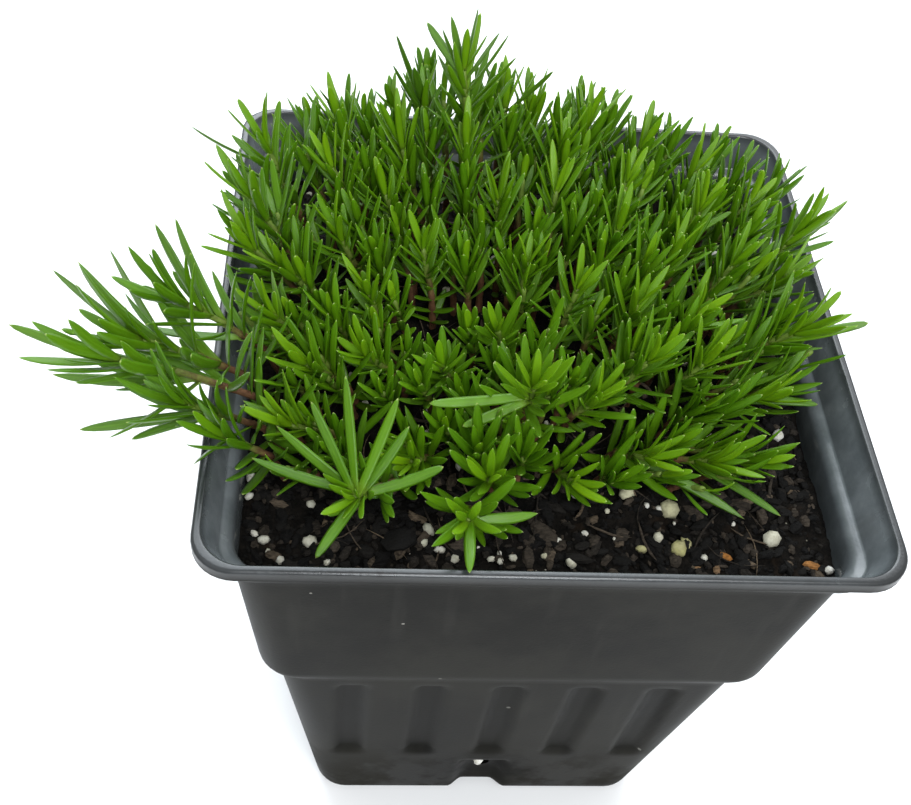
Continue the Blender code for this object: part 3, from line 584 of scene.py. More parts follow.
def pot_shell(finish):
    """The whole profile carried round the square, and closed by a point in the middle of the
    base, outside and inside. The inner corners' radius is less by the wall."""
    wall, lip = wall_profile(), lip_profile()
    base = run((0.0, 0.0), (FOOT_HALF - FOOT_RADIUS, 0.0), BASE_ROWS)[:-1]
    inside = inner_profile(wall)
    floor = run((inside[-1][0], WALL), (0.0, WALL), BASE_ROWS)[:-1]
    profile = np.vstack([base, wall, lip, inside, floor])
    outside = len(base) + len(wall) + len(lip)
    corner = np.where(np.arange(len(profile)) < outside, CORNER_RADIUS, CORNER_RADIUS - WALL)
    rings = square_rings(profile, corner)
    rows, columns = rings.shape[:2]
    points = np.vstack([rings.reshape(-1, 3), (0, 0, 0), (0, 0, WALL)])
    last = rows * columns
    first_ring = np.arange(columns)
    end_ring = (rows - 1) * columns + np.arange(columns)
    poles = np.vstack([fan(last, first_ring, flip=True), fan(last + 1, end_ring)])
    shell = make_piece(
        "pot_shell", points, grid_quads(rows, columns), poles, finish, ["pot"]
    )
    cut_holes(shell)
    return shell


print("shell rows", 2 * (len(wall_profile()) + BASE_ROWS - 1) + len(lip_profile()))

# %% [markdown]
# The plastic is carbon black with a good deal of haze: cloudy handling marks, an olive film of dirt
# towards the foot, faint runs where water dried, a darker patch round each drain hole, and pale specks
# of perlite dust. Some of its colour is painted light: a painted shade in the flutes, a lighter and
# bluer colour on the lip's top that is partly a painted sky sheen, and a painted sheen on the inner
# wall, greatest inside the collar. One small nick shows on the front of the lip. One layer could be
# painted by hand, but noise on the object's own coordinates gives each mark at its real size. Only the
# specks and the nick that the picture shows have places of their own.

# %% The pot's plastic
SHOWN_SPECKS = (
    (-0.0230, 0.1014, 0.00028), (-0.0386, 0.1124, 0.00024), (-0.0147, 0.0774, 0.00032),
)
NICK = (-0.0279, 0.1264, 0.0006)
# The plastic is darker round each wall's drain hole: the height of that patch and the radii over which
# it fades.
DRAIN_MARK_Z = 0.0140
DRAIN_MARK_RADIUS = (0.0040, 0.0190)
DIRTY_BELOW = 0.040
DIRTIEST_BELOW = 0.004
WORN = ((0.0074, 0.0073, 0.0062), (0.0195, 0.0190, 0.0162))
# The clean colour is lighter and bluer than the worn one: partly a painted sky sheen on the lip's top.
CLEAN_SKY_LIT = ((0.012, 0.0135, 0.014), (0.028, 0.032, 0.034))
# A painted sheen: the inner wall and the collar's inside lighter and bluer, as if lit by the sky.
PAINTED_SHEEN = ((0.085, 0.097, 0.103), (0.185, 0.203, 0.213))
ROUGHER_WORN, ROUGHER_DIRTY = 0.18, 0.22
GROOVE_SHADE_AMOUNT, FOOT_AMOUNT, DUST_AMOUNT = 0.50, 0.75, 0.35
RUN_STRETCH = (230.0, 230.0, 9.0)
RUN_MARK = (0.036, 0.035, 0.031)
# Painted shade in the floors of the flutes.
GROOVE_SHADE = (0.0030, 0.0030, 0.0026)
FOOT_DIRT = (0.012, 0.011, 0.007)
# The darker colour round each drain hole.
DRAIN_DARK_COLOUR = (0.0026, 0.0025, 0.0020)
DUST = (0.30, 0.29, 0.26)
SPECK = (0.20, 0.19, 0.17)
NICK_SHADE = (0.003, 0.003, 0.003)


def spot(tree, place, x, z, radius):
    """Mask = 1 within a radius of a place on the front wall, whatever its depth."""
    flat = stretch(tree, place, (1.0, 0.0, 1.0))
    far = node(tree, "VectorMath", {0: flat, 1: (x, 0.0, z)}, operation="DISTANCE")
    return maths(tree, "LESS_THAN", far.outputs["Value"], radius)


def drain_falloff(tree, place):
    """Mask = 1 at each wall's drain hole, fading out over a radius: there the plastic is made darker.
    """
    parts = node(tree, "SeparateXYZ", {"Vector": place}).outputs
    aside = maths(
        tree, "MINIMUM", maths(tree, "ABSOLUTE", parts[0]), maths(tree, "ABSOLUTE", parts[1])
    )
    flat = node(tree, "CombineXYZ", {0: aside, 2: parts[2]}).outputs[0]
    far = node(tree, "VectorMath", {0: flat, 1: (0.0, 0.0, DRAIN_MARK_Z)}, operation="DISTANCE")
    return remap(tree, far.outputs["Value"], *DRAIN_MARK_RADIUS, 1.0, 0.0)


def plastic_finish():
    """Plastic in three colours, worn, clean and a painted sheen, then the marks on it from large to
    small.
    The clean colour is lighter and bluer, partly a painted sky sheen; the painted sheen lights the
    inner wall, and a painted shade darkens the flutes. Worn and dirty places are rougher and shine
    less."""
    finish, tree, shader, place = new_finish("dark_nursery_plastic")
    cloud, cloud_height = patches(
        tree, place, coarse=26.0, fine=210.0, share=0.30, low=0.36, high=0.66
    )
    dull, inside = attribute(tree, "dull"), attribute(tree, "inside")
    worn, clean, sheen_colour = (blend(tree, cloud, *shades) for shades in (WORN, CLEAN_SKY_LIT, PAINTED_SHEEN))
    # Less dull places take the clean colour, lighter and bluer: partly a painted sky sheen.
    colour = blend(tree, dull, clean, worn)
    # A painted sheen on the inner wall, greatest inside the collar.
    colour = blend(tree, inside, colour, sheen_colour)
    runs = noise(tree, stretch(tree, place, RUN_STRETCH), scale=1.0, detail=3.0, roughness=0.55)
    dried = remap(tree, runs, low=0.56, high=0.74, to_high=0.22)
    # Painted shade in the flutes, by how deep a place lies in one.
    groove = times(tree, attribute(tree, "groove"), GROOVE_SHADE_AMOUNT)
    height = node(tree, "SeparateXYZ", {"Vector": place}).outputs[2]
    film = noise(tree, place, scale=85.0, detail=5.0, roughness=0.6)
    low = remap(tree, height, DIRTY_BELOW, DIRTIEST_BELOW)
    dirty = times(tree, low, remap(tree, film, low=0.40, high=0.62))
    foot = times(tree, dirty, FOOT_AMOUNT)
    # Darker round each drain hole, in blotches.
    near_hole = drain_falloff(tree, place)
    drain_blotches = noise(tree, place, scale=120.0, detail=4.0, roughness=0.6)
    drain_blotches = remap(tree, drain_blotches, low=0.30, high=0.60, to_low=0.45, to_high=0.95)
    drain_dark = times(tree, near_hole, drain_blotches)
    dust = specks(tree, place, scale=95.0, size=0.045, share=0.30)
    dusty = times(tree, dust, DUST_AMOUNT)
    # Layers over the colour, among them the painted shade in the flutes and the darker patch round
    # each drain hole.
    colour = paint(
        tree, colour, (dried, RUN_MARK), (groove, GROOVE_SHADE), (foot, FOOT_DIRT),
        (drain_dark, DRAIN_DARK_COLOUR), (dusty, DUST),
        *((spot(tree, place, *shown), SPECK) for shown in SHOWN_SPECKS),
        (spot(tree, place, *NICK), NICK_SHADE),
    )
    fine = noise(tree, place, scale=1700.0, detail=2.0)
    rough = remap(tree, cloud_height, low=0.3, high=0.7, to_low=0.20, to_high=0.30)
    rough = maths(tree, "ADD", rough, times(tree, dull, ROUGHER_WORN))
    rough = maths(tree, "ADD", rough, times(tree, dirty, ROUGHER_DIRTY))
    normal = bump(tree, fine, distance=0.00004, strength=0.5)
    shine = remap(tree, dull, low=0.0, high=1.0, to_low=0.55, to_high=0.04)
    feed(
        tree, shader, Base_Color=colour, Roughness=rough, Normal=normal, Specular_IOR_Level=shine
    )
    return finish


PLASTIC = plastic_finish()
print("plastic nodes", len(PLASTIC.node_tree.nodes))

# %% [markdown]
# The finish reads three values from the shell, which say where it is dull, where it carries a painted
# sheen and where a painted shade darkens the flutes. They could be painted on point by point, but each
# follows from where a point is: how high, on which side of the wall's middle line, and how deep in a
# groove.

# %% Where the pot is worn
SOIL_LINE = 0.1031
LIP_TOP_DULL = 0.12
LIP_DULL = ((0.0003, 0.0008, 0.0016), (0.0, 0.40, 0.95))
# Heights over which the painted sheen on the inner wall rises and falls, and its share at each.
SHEEN_Z = (COLLAR_Z - 0.0005, COLLAR_Z + 0.0008, POT_HEIGHT - 0.0016, POT_HEIGHT - 0.0006)
SHEEN_SHARE = (0.50, 1.0, 1.0, 0.42)


def mark_sides(piece):
    """Marks how much handling has dulled each place: the outer wall in full, the lip's outer face
    more towards its lower edge, its top hardly. Where it is less dull the finish gives the lighter,
    bluer clean colour, partly a painted sky sheen. Then marks the painted sheen on the inner wall
    above the mix, which is greatest inside the collar, and how deep each outer place lies in a groove,
    which sets the painted shade in the flutes."""
    place = np.empty(len(piece.data.vertices) * 3)
    piece.data.vertices.foreach_get("co", place)
    x, y, z = place.reshape(-1, 3).T
    middle = np.vstack([
        wall_profile() - (WALL / 2, 0), ((COLLAR_TOP_HALF + MOUTH_TOP_HALF) / 2, SKIRT_Z)
    ])
    depth = wall_depth(np.minimum(np.abs(x), np.abs(y)), z)
    half = np.interp(z, middle[:, 1], middle[:, 0]) - depth
    dx, dy = (np.abs(v) - (half - CORNER_RADIUS) for v in (x, y))
    outside = np.hypot(np.maximum(dx, 0), np.maximum(dy, 0)) > CORNER_RADIUS
    # Where dull is low the finish uses the lighter, bluer clean colour, partly a painted sky sheen.
    dull = np.where(z < SKIRT_Z, outside | (z < SOIL_LINE), LIP_TOP_DULL)
    lip = np.interp(POT_HEIGHT - z, *LIP_DULL)
    dull = np.where(outside & (z >= SKIRT_Z), lip, dull)
    # Depth in a groove, which sets the painted shade in the flutes.
    groove = np.clip(depth / FLUTE_DEPTH, 0, 1) * outside
    # Painted sheen on the inner wall above the mix, greatest inside the collar.
    inside = (~outside & (z > SOIL_LINE)) * np.interp(z, SHEEN_Z, SHEEN_SHARE)
    store(piece.data, {"dull": dull, "inside": inside, "groove": groove})


POT = pot_shell(PLASTIC)
mark_sides(POT)
print("pot_shell faces", len(POT.data.polygons))

# %% [markdown]
# ## The potting mix
#
# The mix is peat, composted bark and perlite. Its surface is mostly black crumbs, with fibres and
# chips lying over them. A bumpy sheet alone would look like tar, so three layers make it: a
# sheet that is raised by noise, thousands of loose crumbs that sit in it, and then the larger
# pieces that show in their own colour. The sheet goes down the inside of the pot to close the form.
# Every draw has a seed of its own, and the number beside it only keeps one draw apart from another.

# %% The mix's sizes and its height
SOIL_Z = 0.1131
SOIL_CROWN = 0.0020
SOIL_RELIEF = 0.0007
CROSS_WAVE = (410.0, 350.0)
CROSS_PHASE = (1.3, -0.4)
SLANT_WAVE = (190.0, 260.0)
SLANT_PHASE = 2.1
SLANT_SHARE = 0.7
LINING = WALL + 0.0003
MIX_HALF = UPPER_WALL_HALF - LINING
MIX_CELLS = 230
MIX_SEED = 21
LATTICE = 256
CRUMB_FOLDS = ((0.00055, 0.0030), (0.00040, 0.0014))
CRUMB_GRIT = (0.00022, 0.0007)
CRUMB_SINK = 0.0006


def soil_height(x, y):
    """Height of the mix: a low crown under the plant, with two gentle waves over it."""
    far = np.clip((x * x + y * y) / MOUTH_HALF**2, 0, 1)
    cross = np.sin(x * CROSS_WAVE[0] + CROSS_PHASE[0]) * np.cos(y * CROSS_WAVE[1] + CROSS_PHASE[1])
    slant = np.sin(x * SLANT_WAVE[0] - y * SLANT_WAVE[1] + SLANT_PHASE)
    return SOIL_Z + SOIL_CROWN * (1 - far) + SOIL_RELIEF * (cross + SLANT_SHARE * slant)


def lattice_noise(x, y, pitch, seed):
    """Noise from -1 to 1: random values on a square lattice, eased between its points."""
    draw = np.random.default_rng([MIX_SEED, seed])
    table = draw.uniform(-1, 1, (LATTICE + 1, LATTICE + 1))
    column, row = (v / pitch + (LATTICE + 1) / 2 for v in (x, y))
    i, j = (np.floor(v).astype(int) % LATTICE for v in (column, row))
    u, v = smooth_step(column - np.floor(column)), smooth_step(row - np.floor(row))
    low = table[i, j] * (1 - u) + table[i + 1, j] * u
    high = table[i, j + 1] * (1 - u) + table[i + 1, j + 1] * u
    return low * (1 - v) + high * v


def crumbly_height(x, y):
    """The mix's height with crumbs on it: two sizes of noise with their folds turned up, and a
    finer one as it is."""
    rough = np.zeros(np.shape(x))
    for seed, (height, pitch) in enumerate(CRUMB_FOLDS):
        rough += height * np.abs(lattice_noise(x, y, pitch, seed + 1))
    height, pitch = CRUMB_GRIT
    rough += height * lattice_noise(x, y, pitch, len(CRUMB_FOLDS) + 1)
    return soil_height(x, y) + rough - CRUMB_SINK


print("mix height mm", round(float(soil_height(0.0, 0.0)) * 1000, 2))

# %% The sheet of mix
MIX_WALL = (
    (MIX_HALF, 0.1111), (MIX_HALF - 0.0008, 0.0980), (SHOULDER_HALF - LINING, 0.0808),
    (LOWER_WALL_HALF - LINING - FLUTE_DEPTH, 0.0713), (FOOT_HALF - LINING - RECESS_DEPTH, 0.0060),
    (FOOT_HALF - FOOT_RADIUS - LINING - RECESS_DEPTH, LINING),
)
PEAT = ((0.0018, 0.0018, 0.0017), (0.012, 0.010, 0.008))
WARM_PEAT = (0.024, 0.015, 0.009)
PERLITE_DUST = (0.32, 0.30, 0.24)
PERLITE_DUST_AMOUNT = 0.8


def rounded_grid(half, corner, cells):
    """A square grid of (x, y) whose four corner patches are bent onto quarter circles."""
    line = np.linspace(-half, half, cells + 1)
    x, y = np.meshgrid(line, line, indexing="xy")
    inner = half - corner
    p = np.clip((np.abs(x) - inner) / corner, 0, 1)
    q = np.clip((np.abs(y) - inner) / corner, 0, 1)
    in_corner = (p > 0) & (q > 0)
    bent_x = inner + corner * p * np.sqrt(1 - q * q / 2)
    bent_y = inner + corner * q * np.sqrt(1 - p * p / 2)
    x = np.where(in_corner, np.sign(x) * bent_x, x)
    y = np.where(in_corner, np.sign(y) * bent_y, y)
    return x, y


def border(cells):
    """Numbers of a square grid's outer points, once round."""
    side = cells + 1
    low = np.arange(cells)
    return np.concatenate([
        low, low * side + cells, cells * side + cells - low, (cells - low) * side,
    ])


def mix_sheet(finish):
    """The crumbly top, then rings of its outline that shrink as they go down, and a flat foot."""
    x, y = rounded_grid(MIX_HALF, CORNER_RADIUS - LINING, MIX_CELLS)
    top = np.stack([x, y, crumbly_height(x, y)], -1).reshape(-1, 3)
    edge = border(MIX_CELLS)
    outline = top[edge][:, :2] / MIX_HALF
    rings = [np.column_stack([outline * half, np.full(len(edge), z)]) for half, z in MIX_WALL]
    points = np.vstack([top, *rings, (0, 0, LINING)])
    first = len(top)
    index = np.vstack([edge, first + np.arange(len(rings) * len(edge)).reshape(len(rings), -1)])
    beside = np.roll(index, -1, axis=1)
    sides = np.stack([index[:-1], index[1:], beside[1:], beside[:-1]], -1).reshape(-1, 4)
    cover = grid_quads(MIX_CELLS + 1, MIX_CELLS + 1, closed=False)
    foot = fan(len(points) - 1, index[-1], flip=True)
    return make_piece(
        "potting_mix_bed", points, np.vstack([cover, sides]), foot, finish,
        ["potting_mix"],
    )


def mix_finish():
    """Nearly black peat, browner in places, with white specks of crushed perlite."""
    finish, tree, shader, place = new_finish("moist_potting_mix", roughness=0.92)
    mask, height = patches(
        tree, place, coarse=420.0, fine=2300.0, share=0.45, low=0.34, high=0.70
    )
    brown = noise(tree, place, scale=160.0, roughness=0.6)
    brown = remap(tree, brown, low=0.56, high=0.74, to_high=0.5)
    dust = specks(tree, place, scale=620.0, size=0.10, share=0.10)
    white = times(tree, dust, PERLITE_DUST_AMOUNT)
    colour = paint(tree, blend(tree, mask, *PEAT), (brown, WARM_PEAT), (white, PERLITE_DUST))
    shader.inputs["Specular IOR Level"].default_value = 0.08
    normal = bump(tree, height, distance=0.0005, strength=0.9)
    feed(tree, shader, Base_Color=colour, Normal=normal)
    return finish


MIX_BED = mix_sheet(mix_finish())
print("potting_mix_bed faces", len(MIX_BED.data.polygons))

# %% [markdown]
# Crumbs, grains and chips are all lumps of one kind. A lump is a sphere of a few rings whose points
# are pushed in and out at random, then squashed, turned and dropped in place. Built for all the
# lumps at once, it costs a few dozen faces each and no two come out alike.

# %% Lumps
LUMP_RINGS = 4
LUMP_SECTORS = 7
LUMP_TIP = 0.5
LUMP_SETTLE = 0.0003


def lump_points(centres, sizes, turns, roughness, draw):
    """Points of every lump: a sphere's rings and poles, each radius times 1 plus or minus the
    roughness, times the three half sizes, tipped a little, turned about Z and moved in place."""
    count = len(centres)
    theta = np.linspace(0, math.pi, LUMP_RINGS + 2)[1:-1]
    phi = around(LUMP_SECTORS)
    ring = np.stack([
        np.sin(theta)[:, None] * np.cos(phi), np.sin(theta)[:, None] * np.sin(phi),
        np.cos(theta)[:, None] * np.ones(LUMP_SECTORS),
    ], -1).reshape(-1, 3)
    sphere = np.vstack([ring, (0, 0, 1), (0, 0, -1)])
    radius = 1 + roughness * draw.uniform(-1, 1, (count, len(sphere)))
    points = sphere * radius[..., None] * sizes[:, None, :]
    tip = draw.uniform(-LUMP_TIP, LUMP_TIP, count)[:, None]
    y, z = points[..., 1], points[..., 2]
    y, z = y * np.cos(tip) - z * np.sin(tip), y * np.sin(tip) + z * np.cos(tip)
    x = points[..., 0]
    cosine, sine = np.cos(turns)[:, None], np.sin(turns)[:, None]
    points = np.stack([x * cosine - y * sine, x * sine + y * cosine, z], -1)
    return points + centres[:, None, :]


def lump_faces(count):
    """Quads between the rings and triangles at both poles, for every lump."""
    size = LUMP_RINGS * LUMP_SECTORS
    ends = np.vstack([
        fan(size, np.arange(LUMP_SECTORS)),
        fan(size + 1, size - LUMP_SECTORS + np.arange(LUMP_SECTORS), flip=True),
    ])
    quads = grid_quads(LUMP_RINGS, LUMP_SECTORS)[:, ::-1]
    return copies(quads, count, size + 2), copies(ends, count, size + 2)


def make_lumps(name, places, sizes, tones, finish, roughness, seed, sink, smooth=True):
    """One piece of many lumps. `sink` is the share of each half height that lies in the mix."""
    draw = np.random.default_rng([MIX_SEED, seed])
    x, y = places[:, 0], places[:, 1]
    z = soil_height(x, y) + sizes[:, 2] * (1 - 2 * sink) - LUMP_SETTLE
    turns = draw.uniform(0, 2 * math.pi, len(x))
    points = lump_points(np.stack([x, y, z], 1), sizes, turns, roughness, draw)
    quads, triangles = lump_faces(len(x))
    values = {"tone": np.repeat(tones, points.shape[1])}
    return make_piece(
        name, points, quads, triangles, finish, values=values, smooth=smooth
    )


def scatter(draw, count, margin):
    """Random places on the mix, kept a margin off the wall."""
    places = draw.uniform(-1, 1, (count * 2, 2)) * (MIX_HALF - margin)
    corner = np.abs(places) - (MIX_HALF - CORNER_RADIUS)
    off = np.hypot(*np.maximum(corner, 0).T) < CORNER_RADIUS - margin
    return places[off][:count]


print("faces a lump", sum(map(len, lump_faces(1))))

# %% [markdown]
# The crumbs range from half a millimetre to a few, with many small ones to each large one, so their
# sizes come from a power of an even draw. Most lie on the open ground at the front and the right, and
# only a few under the leaves. Bark is streaked along its length, which a noise that is stretched
# along one axis gives.

# %% Crumbs and bark
CRUMBS = 9000
MOST_CRUMBS = 3500
CRUMB_MARGIN = 0.0012
CRUMB_SIZE = (0.00028, 0.00105)
CRUMB_LENGTH = (1.0, 2.2)
CRUMB_HEIGHT = 0.7
CRUMB_TONES = 0.86
SMALL_CRUMBS = 3
DARK_CRUMBS = 1.4
OPEN_GROUND = (0.034, -0.024)
SHADED_SHARE = 0.12
BARK_DARKEST = (0.0022, 0.0021, 0.0022, 1)
BARK_BRIGHTEST = (0.42, 0.175, 0.040, 1)
BARK_SHADES = (
    (0.35, (0.0060, 0.0056, 0.0050, 1)), (0.60, (0.018, 0.0150, 0.0120, 1)),
    (0.80, (0.066, 0.052, 0.038, 1)), (0.90, (0.17, 0.125, 0.080, 1)),
)
BARK_STREAK = (0.004, 0.003, 0.002)
BARK_STRETCH = (900.0, 2600.0, 2600.0)


def bark_finish():
    """Dark, brown or orange by the piece's own tone, with streaks along it."""
    finish, tree, shader, place = new_finish("composted_bark", roughness=0.85)
    tone = attribute(tree, "tone")
    colour = node(tree, "ValToRGB", {"Fac": tone})
    bands = colour.color_ramp
    bands.elements[0].color = BARK_DARKEST
    bands.elements[1].color = BARK_BRIGHTEST
    for position, shade in BARK_SHADES:
        bands.elements.new(position).color = shade
    streak = noise(tree, stretch(tree, place, BARK_STRETCH), scale=1.0, roughness=0.6)
    share = remap(tree, streak, low=0.35, high=0.65, to_low=0.55, to_high=0.0)
    shaded = blend(tree, share, colour.outputs[0], BARK_STREAK)
    shader.inputs["Specular IOR Level"].default_value = 0.20
    normal = bump(tree, streak, distance=0.0004, strength=0.8)
    feed(tree, shader, Base_Color=shaded, Normal=normal)
    return finish


def make_crumbs(finish):
    """Flat-sided crumbs. The powers of the even draws make most of them small and dark."""
    draw = np.random.default_rng([MIX_SEED, 50])
    places = scatter(draw, CRUMBS, CRUMB_MARGIN)
    seen = (places[:, 0] > OPEN_GROUND[0]) | (places[:, 1] < OPEN_GROUND[1])
    places = places[seen | (draw.random(len(places)) < SHADED_SHARE)][:MOST_CRUMBS]
    share = draw.uniform(0, 1, len(places)) ** SMALL_CRUMBS
    size = CRUMB_SIZE[0] + share * (CRUMB_SIZE[1] - CRUMB_SIZE[0])
    length = size * draw.uniform(*CRUMB_LENGTH, len(size))
    form = np.stack([length, size, size * CRUMB_HEIGHT], 1)
    tones = CRUMB_TONES * draw.uniform(0, 1, len(size)) ** DARK_CRUMBS
    return make_lumps(
        "mix_crumbs", places, form, tones, finish, roughness=0.28, seed=51, sink=0.25, smooth=False
    )


BARK = bark_finish()
print("mix_crumbs faces", len(make_crumbs(BARK).data.polygons))

# %% [markdown]
# The larger pieces that the picture shows lie where it shows them, given as (x, y, half length) in
# millimetres and a tone. The rest are scattered at random, so that the mix looks the same under the
# leaves. Perlite is volcanic glass popped like corn: white, pitted, and stained cream or green. One
# long grain has washed into the front drain hole.

# %% Perlite and chips
SHOWN_PERLITE = (
    (-49.5, -29.9, 1.2, 0.25), (-48.2, -28.4, 1.0, 0.2), (-49.8, -33.6, 0.9, 0.1),
    (-48.5, -40.7, 0.9, 0.15), (-46.8, -41.7, 1.1, 0.2), (-39.2, -42.7, 1.3, 0.3),
    (-39.4, -34.2, 0.9, 0.3), (-43.9, -45.6, 0.9, 0.1), (-36.2, -46.8, 0.7, 0.2),
    (-17.5, -43.3, 1.0, 0.2), (-11.0, -43.2, 0.7, 0.15), (-8.9, -45.4, 0.8, 0.3),
    (-7.5, -46.0, 0.7, 0.2), (-5.4, -45.4, 0.8, 0.25), (2.5, -41.8, 0.9, 0.1),
    (0.2, -44.4, 0.8, 0.5), (39.8, -40.6, 1.8, 0.35), (49.7, -45.5, 1.0, 0.0),
    (17.2, -42.3, 1.1, 0.9), (23.3, -42.8, 1.7, 0.95), (24.9, -41.4, 1.3, 0.9),
    (23.0, -34.4, 2.0, 0.7), (15.3, -32.3, 1.5, 0.6), (18.8, -34.3, 0.6, 0.0),
    (27.9, -43.8, 0.7, 0.2),
)
SHOWN_CHIPS = (
    (31.9, -43.1, 1.5, 1.0), (46.9, -44.4, 1.9, 0.98),
    (29.6, -46.2, 1.0, 0.92), (34.9, -44.8, 1.0, 0.9),
    (-36.8, -38.7, 1.6, 0.9), (26.0, -46.1, 0.9, 0.93),
    (0.5, -40.3, 3.3, 0.72), (5.7, -45.4, 2.4, 0.45),
    (13.3, -44.8, 1.8, 0.3), (-27.7, -39.4, 2.0, 0.4),
    (37.0, -32.0, 2.1, 0.86), (47.1, -29.9, 1.5, 0.9),
)
SLATE = (-24.2, -42.7, 3.6, 0.30)
SLATE_FORM = (1.0, 0.8, 0.3)
DRAIN_GRAIN = (-0.0009, -0.0380, 0.0186)
DRAIN_GRAIN_SIZE = (0.0014, 0.0011, 0.0027)
GRAIN_MARGIN = 0.003
MORE_PERLITE = {"count": 70, "size": (0.0004, 0.0013), "tone": (0.0, 0.5)}
PERLITE_FORM = ((0.65, 0.95), (0.6, 0.85))
MORE_CHIPS = {"count": 110, "size": (0.0008, 0.0024), "tone": (0.10, 0.82)}
CHIP_FORM = ((0.35, 0.7), (0.18, 0.34))
PERLITE_WHITE, PERLITE_GREEN = (0.72, 0.71, 0.66), (0.40, 0.38, 0.13)
PERLITE_STAIN = (0.30, 0.27, 0.17)
STAIN_AMOUNT = 0.6


def perlite_finish():
    """White to green by the grain's own tone, with darker pits."""
    finish, tree, shader, place = new_finish("perlite", roughness=0.80)
    tone = attribute(tree, "tone")
    mask, height = patches(
        tree, place, coarse=700.0, fine=2600.0, share=0.4, low=0.38, high=0.68
    )
    clean = blend(tree, tone, PERLITE_WHITE, PERLITE_GREEN)
    stained = times(tree, mask, STAIN_AMOUNT)
    colour = blend(tree, stained, clean, PERLITE_STAIN)
    normal = bump(tree, height, distance=0.0005, strength=0.9)
    feed(tree, shader, Base_Color=colour, Normal=normal)
    return finish


def placed(shown, draw, count, size, tone):
    """The shown pieces as places, half lengths and tones in metres, then scattered ones."""
    known = np.array(shown)
    places = np.vstack([known[:, :2] / 1000, scatter(draw, count, GRAIN_MARGIN)])
    added = len(places) - len(known)
    sizes = np.concatenate([known[:, 2] / 1000, draw.uniform(*size, added)])
    tones = np.concatenate([known[:, 3], draw.uniform(*tone, added)])
    return places, sizes, tones


def grain_forms(sizes, width, height, draw):
    """Three half sizes a grain: its length, and shares of it drawn for its width and height."""
    count = len(sizes)
    shares = np.ones(count), draw.uniform(*width, count), draw.uniform(*height, count)
    return sizes[:, None] * np.stack(shares, 1)


def make_drain_grain(finish):
    """One long upright grain in the front drain hole."""
    draw = np.random.default_rng([MIX_SEED, 62])
    place, size = np.array([DRAIN_GRAIN]), np.array([DRAIN_GRAIN_SIZE])
    points = lump_points(place, size, turns=np.zeros(1), roughness=0.10, draw=draw)
    quads, triangles = lump_faces(1)
    values = {"tone": np.zeros(points.shape[1])}
    return make_piece(
        "drain_grain", points, quads, triangles, finish, values=values
    )


def make_perlite(finish):
    """Grains that are nearly as wide and high as they are long."""
    draw = np.random.default_rng([MIX_SEED, 60])
    places, sizes, tones = placed(SHOWN_PERLITE, draw, **MORE_PERLITE)
    form = grain_forms(sizes, *PERLITE_FORM, draw)
    return make_lumps(
        "perlite_grains", places, form, tones, finish, roughness=0.17, seed=61, sink=0.22
    )


def make_chips(finish):
    """Flat chips of bark, and one broad dark piece among them."""
    draw = np.random.default_rng([MIX_SEED, 70])
    places, sizes, tones = placed((*SHOWN_CHIPS, SLATE), draw, **MORE_CHIPS)
    form = grain_forms(sizes, *CHIP_FORM, draw)
    slate = len(SHOWN_CHIPS)
    form[slate] = sizes[slate] * np.array(SLATE_FORM)
    return make_lumps(
        "bark_chips", places, form, tones, finish, roughness=0.16, seed=71, sink=0.1, smooth=False
    )


PERLITE = perlite_finish()
print("perlite faces", len(make_perlite(PERLITE).data.polygons))
print("drain grain faces", len(make_drain_grain(PERLITE).data.polygons))
print("chip faces", len(make_chips(BARK).data.polygons))

# %% [markdown]
# Fibres and twigs are thin bent rods. Each is a tube: a ring of points carried along a shallow
# curve, with its ends drawn in. They lie on the crumbs at all angles, some across each other.

# %% Tubes and twigs
SKEW = (0.31, 0.94, 0.12)
TWIGS = 280
TWIG_MARGIN = 0.006
TWIG_LENGTH = (0.003, 0.012)
TWIG_BOW = 0.16
TWIG_LIFT = 0.0012
TWIG_REST = 0.0003
TWIG_REACH = MIX_HALF - 0.001
TWIG_RADIUS = (0.00010, 0.00026)
TWIG_TAPER = 0.8
TWIG_STATIONS = 6
TWIG_SIDES = 5
TWIG_TONES = (0.55, 0.93)


def cross_axes(along):
    """Two directions square to this one and to each other. A direction that nothing here follows
    gives the first."""
    across = unit(np.cross(along, SKEW))
    return across, np.cross(along, across)


def tube_points(paths, radii, sides):
    """Rings round every path point, radius given at each, then each path's two ends as poles."""
    aside, over = cross_axes(unit(np.gradient(paths, axis=-2)))
    angle = around(sides)
    spoke = (
        np.cos(angle)[:, None] * aside[..., None, :] + np.sin(angle)[:, None] * over[..., None, :]
    )
    rings = paths[..., None, :] + radii[..., None, None] * spoke
    rings = rings.reshape(len(paths), -1, 3)
    return np.concatenate([rings, paths[:, :1], paths[:, -1:]], axis=1)


def tube_faces(count, stations, sides):
    """Quads between a tube's rings and triangles at both ends, for every tube."""
    size = stations * sides
    ends = np.vstack([
        fan(size, np.arange(sides), flip=True), fan(size + 1, size - sides + np.arange(sides)),
    ])
    return copies(grid_quads(stations, sides), count, size + 2), copies(ends, count, size + 2)


